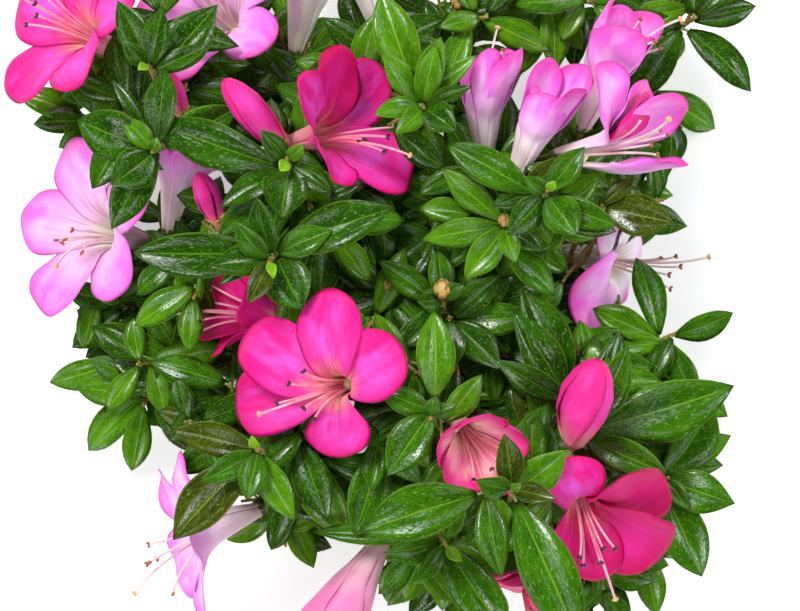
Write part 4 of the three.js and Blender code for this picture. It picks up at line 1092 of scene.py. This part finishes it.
taken = 0
missed = 0
for mass in massStems:
    for twig in twigEnds[mass]:
        if not twig["leaves"]:
            continue
        draw = seeded(seeds["leaf"] + twig["number"])
        detail = seeded(seeds["leafForm"] + twig["number"])
        spray = [*twig["light"], detail()][0]
        listed = isinstance(twig["leaves"][0], list)
        leaves = leavesOf(twig["leaves"], draw)
        order = sorted(range(len(leaves)), key=lambda k: leaves[k][1])
        for k, (bearing, reach, wide) in enumerate(leaves):
            young = (1 - reach / leaves[order[-1]][1]) ** 1.5
            rest = grown["listedLift"] if listed else grown["ruleLift"]
            rest = rest + grown["youngLift"] * young + grown["liftSpread"] * (draw() - 0.5)
            roll = math.radians(grown["rollSpread"] * (draw() - 0.5))
            below = grown["highestLeaf"] + grown["leafSpacing"] * order.index(k)
            root = downFromEnd(twig["curve"], below)
            touching = -math.asin(min(root[2] / reach, 1))
            lifts = [touching] if root[2] < grown["lowWhorl"] else []
            lifts += [max(math.radians(rest + more), touching) for more in liftTrials]
            trials = [(math.radians(bearing), lift, roll, reach, wide) for lift in lifts]
            fits = [leaf for leaf in trials
                    if gapTo(leafCorners(root, *leaf), "leaves_" + mass).max() < sameCorner]
            if not fits:
                missed += 1
                continue
            taken += 1
            leaf = fits[0]
            # A leaf that would pass through a bloom is made smaller
            for trial in range(leafPlan["trials"]):
                point = leafGrid(root, *leaf, seeded(seeds["trialLeaf"]))[0]
                if not any(crosses(flowerTree, point[:, column]) for column in range(3)):
                    break
                leaf = (*leaf[:3], leaf[3] * leafPlan["shorter"], leaf[4] * leafPlan["narrower"])
            tint = tintOf(young, spray, detail)
            addLeaf(tint, twig["curve"], twig["length"], below, root, leaf, detail, listed)
print(f"{taken} leaves follow the solids, {missed} were skipped there")

# Finer shoots and leaves, which keep clear of the blooms and don't hide the whorls and blooms in front
print("finer shoots")
finer = {
    "shoots": 5, "length": [9, 17], "reach": [12, 25], "count": 5, "fewest": 2, "clear": 1, "inside": 1.5,
    "lowest": 6, "radius": [0.62, 0.5], "lift": [-8, 40, 16], "cameraHeight": 675, "openHeight": 40,
}
# Open places between the sprays, as the camera sees them at openHeight: centres and half sizes
openPlaces = [[-62, -70, 24, 20], [-30, -84, 16, 14], [-80, -42, 14, 14], [82, 8, 12, 22], [84, 66, 14, 14]]
camera = np.array([0.0, 0.0, finer["cameraHeight"]])
limbNodes = ["main_stem"] + ["bough_" + mass for mass in boughs]
limbs = Heap()
for node in limbNodes:
    mesh = frame["nodes"][node].data
    mesh.calc_loop_triangles()
    limbs.add(nodePoints(mesh), np.array([tuple(triangle.vertices) for triangle in mesh.loop_triangles]))
limbTree = treeOf(*limbs.arrays())
leafTree = treeOf(*listedLeaves.arrays())
lowCorner, highCorner = (np.array(corner) * 1000 - layoutShift for corner in cadBox)


# Whether a leaf may stand here: in the branch's own box, clear of blooms and limbs, through no listed
# leaf, in no open place, and behind every bloom and listed leaf as the camera sees them
def mayStand(point):
    lines = [point[::2, 1], point[::2, 0], point[::2, 2]]
    spots = np.vstack(lines)
    if (spots < lowCorner - finer["inside"]).any() or (spots > highCorner + finer["inside"]).any():
        return False
    if any(crosses(tree, line) for line in lines for tree in (flowerTree, leafTree, limbTree)):
        return False
    for spot in spots[::2]:
        away = Vector(unit(spot - camera))
        if flowerTree.find_nearest(Vector(spot))[3] < finer["clear"] \
                or flowerTree.ray_cast(Vector(spot), away)[0] or leafTree.ray_cast(Vector(spot), away)[0]:
            return False
        seen = spot[:2] * (finer["cameraHeight"] - finer["openHeight"]) / (finer["cameraHeight"] - spot[2])
        for x, y, wide, high in openPlaces:
            if ((seen[0] - x) / wide) ** 2 + ((seen[1] - y) / high) ** 2 < 1:
                return False
    return True


added = 0
for massNumber, mass in enumerate(massStems):
    for twigNumber, twig in enumerate(twigEnds[mass]):
        seed = seeds["shoot"] + 40 * massNumber + twigNumber
        draw = seeded(seed)
        for shoot in range(finer["shoots"]):
            t = 0.3 + 0.6 * (shoot + draw()) / finer["shoots"]
            start = onCurve(twig["curve"], t)[0]
            turn = 2 * np.pi * draw()
            sideways = np.array([math.cos(turn), math.sin(turn), 0.9 * (draw() - 0.45)])
            way = unit(sideways + 0.5 * alongCurve(twig["curve"], t)[0])
            long = lerp(*finer["length"], draw())
            end = start + way * long
            end[2] = max(end[2], finer["lowest"])
            curve = wayOf(start, way, end, unit(way + up * 0.6), 0, 0)
            line = onCurve(curve, np.linspace(0, 1, 10))
            clearTwig = not crosses(flowerTree, line) and not crosses(limbTree, line[2:])
            bearing = 360 * draw()
            spray = draw()
            standing = []
            for k in range(finer["count"]):
                reach = lerp(*finer["reach"], draw())
                young = (1 - reach / finer["reach"][1]) ** 1.5
                level, youngLift, liftSpread = finer["lift"]
                lift = math.radians(level + youngLift * young + liftSpread * (draw() - 0.5))
                roll = math.radians(grown["rollSpread"] * (draw() - 0.5))
                below = grown["highestLeaf"] + grown["leafSpacing"] * k
                root = onCurve(curve, 1 - below / long)[0]
                lift = max(lift, -math.asin(min(root[2] / reach, 1)))
                turn = math.radians(bearing + grown["goldenAngle"] * k)
                leaf = (turn, lift, roll, reach, usualWidth(reach))
                leafSeed = seeds["finerLeaf"] + 20 * seed + k
                tint = tintOf(young * 0.9, spray, draw)
                if clearTwig and mayStand(leafGrid(root, *leaf, seeded(leafSeed))[0]):
                    standing.append((tint, curve, long, below, root, leaf, seeded(leafSeed), False))
            if len(standing) >= finer["fewest"]:
                addTube(twigs, line, np.linspace(*finer["radius"], 10), 6)
                for leaf in standing:
                    addLeaf(*leaf)
                added += len(standing)
print(f"{added} finer leaves")

print("materials")
# Leaves: the blade's two greens, the veins, the under face, and how hairy they are
leafLooks = {
    "dark": [(0.009, 0.042, 0.0006), (0.026, 0.112, 0.0008), (0.14, 0.3, 0.02), (0.09, 0.18, 0.04), 0.9],
    "mid": [(0.018, 0.085, 0.0006), (0.044, 0.17, 0.001), (0.19, 0.38, 0.03), (0.12, 0.24, 0.05), 0.8],
    "bright": [(0.04, 0.155, 0.0008), (0.09, 0.27, 0.0015), (0.28, 0.5, 0.05), (0.16, 0.32, 0.06), 0.6],
    "young": [(0.15, 0.38, 0.004), (0.28, 0.54, 0.01), (0.46, 0.66, 0.1), (0.25, 0.45, 0.08), 0.3],
    "olive": [(0.026, 0.036, 0.001), (0.055, 0.09, 0.0015), (0.24, 0.34, 0.04), (0.14, 0.18, 0.04), 0.7],
}
# Petals: the places and colours from foot to tip, the veins and their strength, the flecks and theirs,
# the outer face, and the tint of the painted sheen on the middle of each lobe
petalLooks = {
    "deep": [[(0, 1, 0.8, 0.6), (0.36, 0.98, 0.6, 0.5), (0.45, 0.95, 0.26, 0.38), (0.56, 0.84, 0.035, 0.33),
              (0.85, 0.82, 0.01, 0.26), (1, 0.72, 0.004, 0.13)],
             (0.7, 0, 0.16), 0.35, (0.82, 0.03, 0.06), 0.8, (0.84, 0.03, 0.26), (0.84, 0.12, 0.74)],
    "crimson": [[(0, 1, 0.7, 0.55), (0.36, 1, 0.45, 0.42), (0.46, 0.85, 0.08, 0.25),
                 (0.58, 0.68, 0.008, 0.17), (0.85, 0.64, 0.003, 0.13), (1, 0.56, 0.001, 0.08)],
                (0.48, 0, 0.07), 0.5, (0.4, 0, 0.03), 0.8, (0.76, 0.012, 0.22), (0.76, 0.02, 0.3)],
    "cream": [[(0, 0.9, 0.78, 0.5), (0.45, 0.95, 0.72, 0.6), (0.68, 0.96, 0.5, 0.5), (0.8, 0.96, 0.05, 0.32),
               (1, 0.9, 0.01, 0.22)],
              (0.85, 0.12, 0.25), 0.3, (0.6, 0.1, 0.05), 0.3, (0.95, 0.03, 0.28)],
    "pale": [[(0, 0.97, 0.88, 0.76), (0.3, 1, 0.89, 0.9), (0.44, 1, 0.64, 0.93), (0.64, 0.98, 0.3, 0.92),
              (0.84, 0.96, 0.14, 0.76), (1, 0.9, 0.05, 0.42)],
             (0.95, 0.3, 0.7), 0.35, (0.6, 0.03, 0.12), 0.8, None, (1, 0.62, 0.98)],
    "white": [[(0, 0.62, 0.7, 0.3), (0.34, 0.85, 0.85, 0.66), (0.5, 0.92, 0.88, 0.92),
               (0.68, 0.92, 0.74, 0.9), (0.84, 0.9, 0.32, 0.76), (1, 0.86, 0.07, 0.48)],
              (0.9, 0.4, 0.7), 0.3, (0.6, 0.3, 0.1), 0.4, (0.92, 0.82, 0.88), (0.95, 0.85, 0.95)],
    "lilac": [[(0, 0.72, 0.78, 0.4), (0.33, 0.88, 0.88, 0.76), (0.5, 0.93, 0.6, 0.88),
               (0.75, 0.92, 0.22, 0.78), (1, 0.86, 0.1, 0.62)],
              (0.85, 0.12, 0.62), 0.35, (0.6, 0.03, 0.2), 0.6, (0.92, 0.45, 0.85), (0.96, 0.62, 0.95)],
    "faded": [[(0, 0.7, 0.5, 0.35), (0.4, 0.82, 0.1, 0.24), (0.75, 0.72, 0.015, 0.2), (1, 0.85, 0.2, 0.12)],
              (0.5, 0.02, 0.1), 0.6, (0.5, 0.1, 0.05), 0.8, (0.78, 0.03, 0.22)],
    "furled": [[(0, 0.72, 0.76, 0.4), (0.24, 0.92, 0.82, 0.72), (0.42, 0.94, 0.5, 0.66),
                (0.62, 0.93, 0.18, 0.48), (1, 0.9, 0.06, 0.36)],
               (0.85, 0.06, 0.35), 0.5, (0.6, 0.03, 0.2), 0.3, (0.94, 0.32, 0.55)],
}
# Small parts: two colours, the pattern's scale, roughness, and bump where it isn't the usual
plainLooks = {
    "twig": [(0.16, 0.07, 0.02), (0.42, 0.3, 0.06), 200, 0.6, 0.5],
    "green stalk": [(0.14, 0.24, 0.03), (0.3, 0.36, 0.08), 300, 0.5, 0.3],
    "ovary": [(0.78, 0.84, 0.42), (0.92, 0.92, 0.62), 300, 0.5, 0.3],
    "bud scale": [(0.42, 0.2, 0.04), (0.6, 0.44, 0.12), 320, 0.5, 0.4],
    "filament pink": [(0.95, 0.22, 0.36), (0.98, 0.5, 0.58), 180, 0.4],
    "filament pale": [(0.8, 0.55, 0.55), (0.9, 0.76, 0.72), 180, 0.4],
    "anther dark": [(0.025, 0.005, 0.012), (0.11, 0.03, 0.05), 900, 0.35, 0.6],
    "anther rust": [(0.26, 0.06, 0.015), (0.5, 0.16, 0.05), 900, 0.45, 0.6],
    "stigma": [(0.8, 0.3, 0.16), (0.85, 0.6, 0.25), 700, 0.3],
}
petalFinish = {name: petalMaterial("petal " + name, *look) for name, look in petalLooks.items()}
plain = {name: plainMaterial(name, *look) for name, look in plainLooks.items()}

print("pieces")
massNodes = ["leaves_" + mass for mass in massStems]
barkHeap.make("bark", [barkMaterial(), cutMaterial()], "bark", limbNodes)
twigs.make("twigs", [plain["twig"]], "bark", massNodes)
stalks.make("leaf_stalks", [plain["green stalk"]], "leaf", massNodes)
for tint, heap in leafHeaps.items():
    heap.make("foliage_" + tint, [leafMaterial("leaf " + tint, *leafLooks[tint])], "leaf", massNodes)
for name, row in blooms.items():
    look, finish = row[5:7]
    finishes = [petalFinish[shade or finish] for shade in petalPlan["finishes"]]
    petalHeaps["petals_" + name].make("petals_" + name, finishes, "petal_" + look, ["bloom_" + name])
for name in buds:
    petalHeaps["closed_bud_" + name].make("closed_bud_" + name, [petalFinish["deep"]], "petal_deep",
                                          ["bud_" + name])
greens.make("pedicels", [plain["green stalk"], plain["ovary"]], "leaf")
scales.make("bud_scales", [plain["bud scale"]], "bark")
filaments.make("filaments", [plain["filament pink"], plain["filament pale"]], "petal_deep")
anthers.make("anthers", [plain["anther dark"], plain["anther rust"], plain["stigma"]], "petal_deep")

print("stage")
scene = bpy.context.scene
scene.view_settings.view_transform = "Standard"
scene.view_settings.look = "None"


# Adds a thing that isn't part of the branch, at a place in metres
def addObject(name, data, place=(0, 0, 0)):
    made = bpy.data.objects.new(name, data)
    made.location = place
    scene.collection.objects.link(made)
    return made


# A level floor just under the branch, wide enough for every view
def addFloor(half, level):
    mesh = bpy.data.meshes.new("floor")
    corners = [(-half, -half, level), (half, -half, level), (half, half, level), (-half, half, level)]
    mesh.from_pydata(corners, [], [(0, 1, 2, 3)])
    pale = plainMaterial("pale floor", (0.86, 0.86, 0.86), (0.88, 0.88, 0.88), 3, 0.8, 0.02, glow=0.44)
    mesh.materials.append(pale)
    addObject("floor", mesh)


def addLight(name, place, size, power, tint):
    lamp = bpy.data.lights.new(name, "AREA")
    lamp.shape = "DISK"
    lamp.size = size
    lamp.energy = power
    lamp.color = tint
    addObject(name, lamp, place).rotation_euler = (-Vector(place)).to_track_quat("-Z", "Y").to_euler()


addFloor(6.0, -0.0004)
addLight("key", (-0.9, 1.2, 1.9), 0.9, 44, (1, 0.99, 0.98))
addLight("side", (1.7, 0.5, 1.3), 1.2, 20, (0.96, 0.98, 1))
addLight("front", (-0.6, -1.6, 1.7), 1.2, 20, (1, 0.99, 0.97))
scene.world = bpy.data.worlds.new("pale room")
scene.world.use_nodes = True
background = scene.world.node_tree.nodes["Background"].inputs
background["Color"].default_value = (0.93, 0.96, 1, 1)
background["Strength"].default_value = 0.38

lens = bpy.data.cameras.new("view")
lens.lens = 100
lens.sensor_width = 36
lens.clip_end = 20
scene.camera = addObject("view", lens, (layoutShift + camera) / 1000)
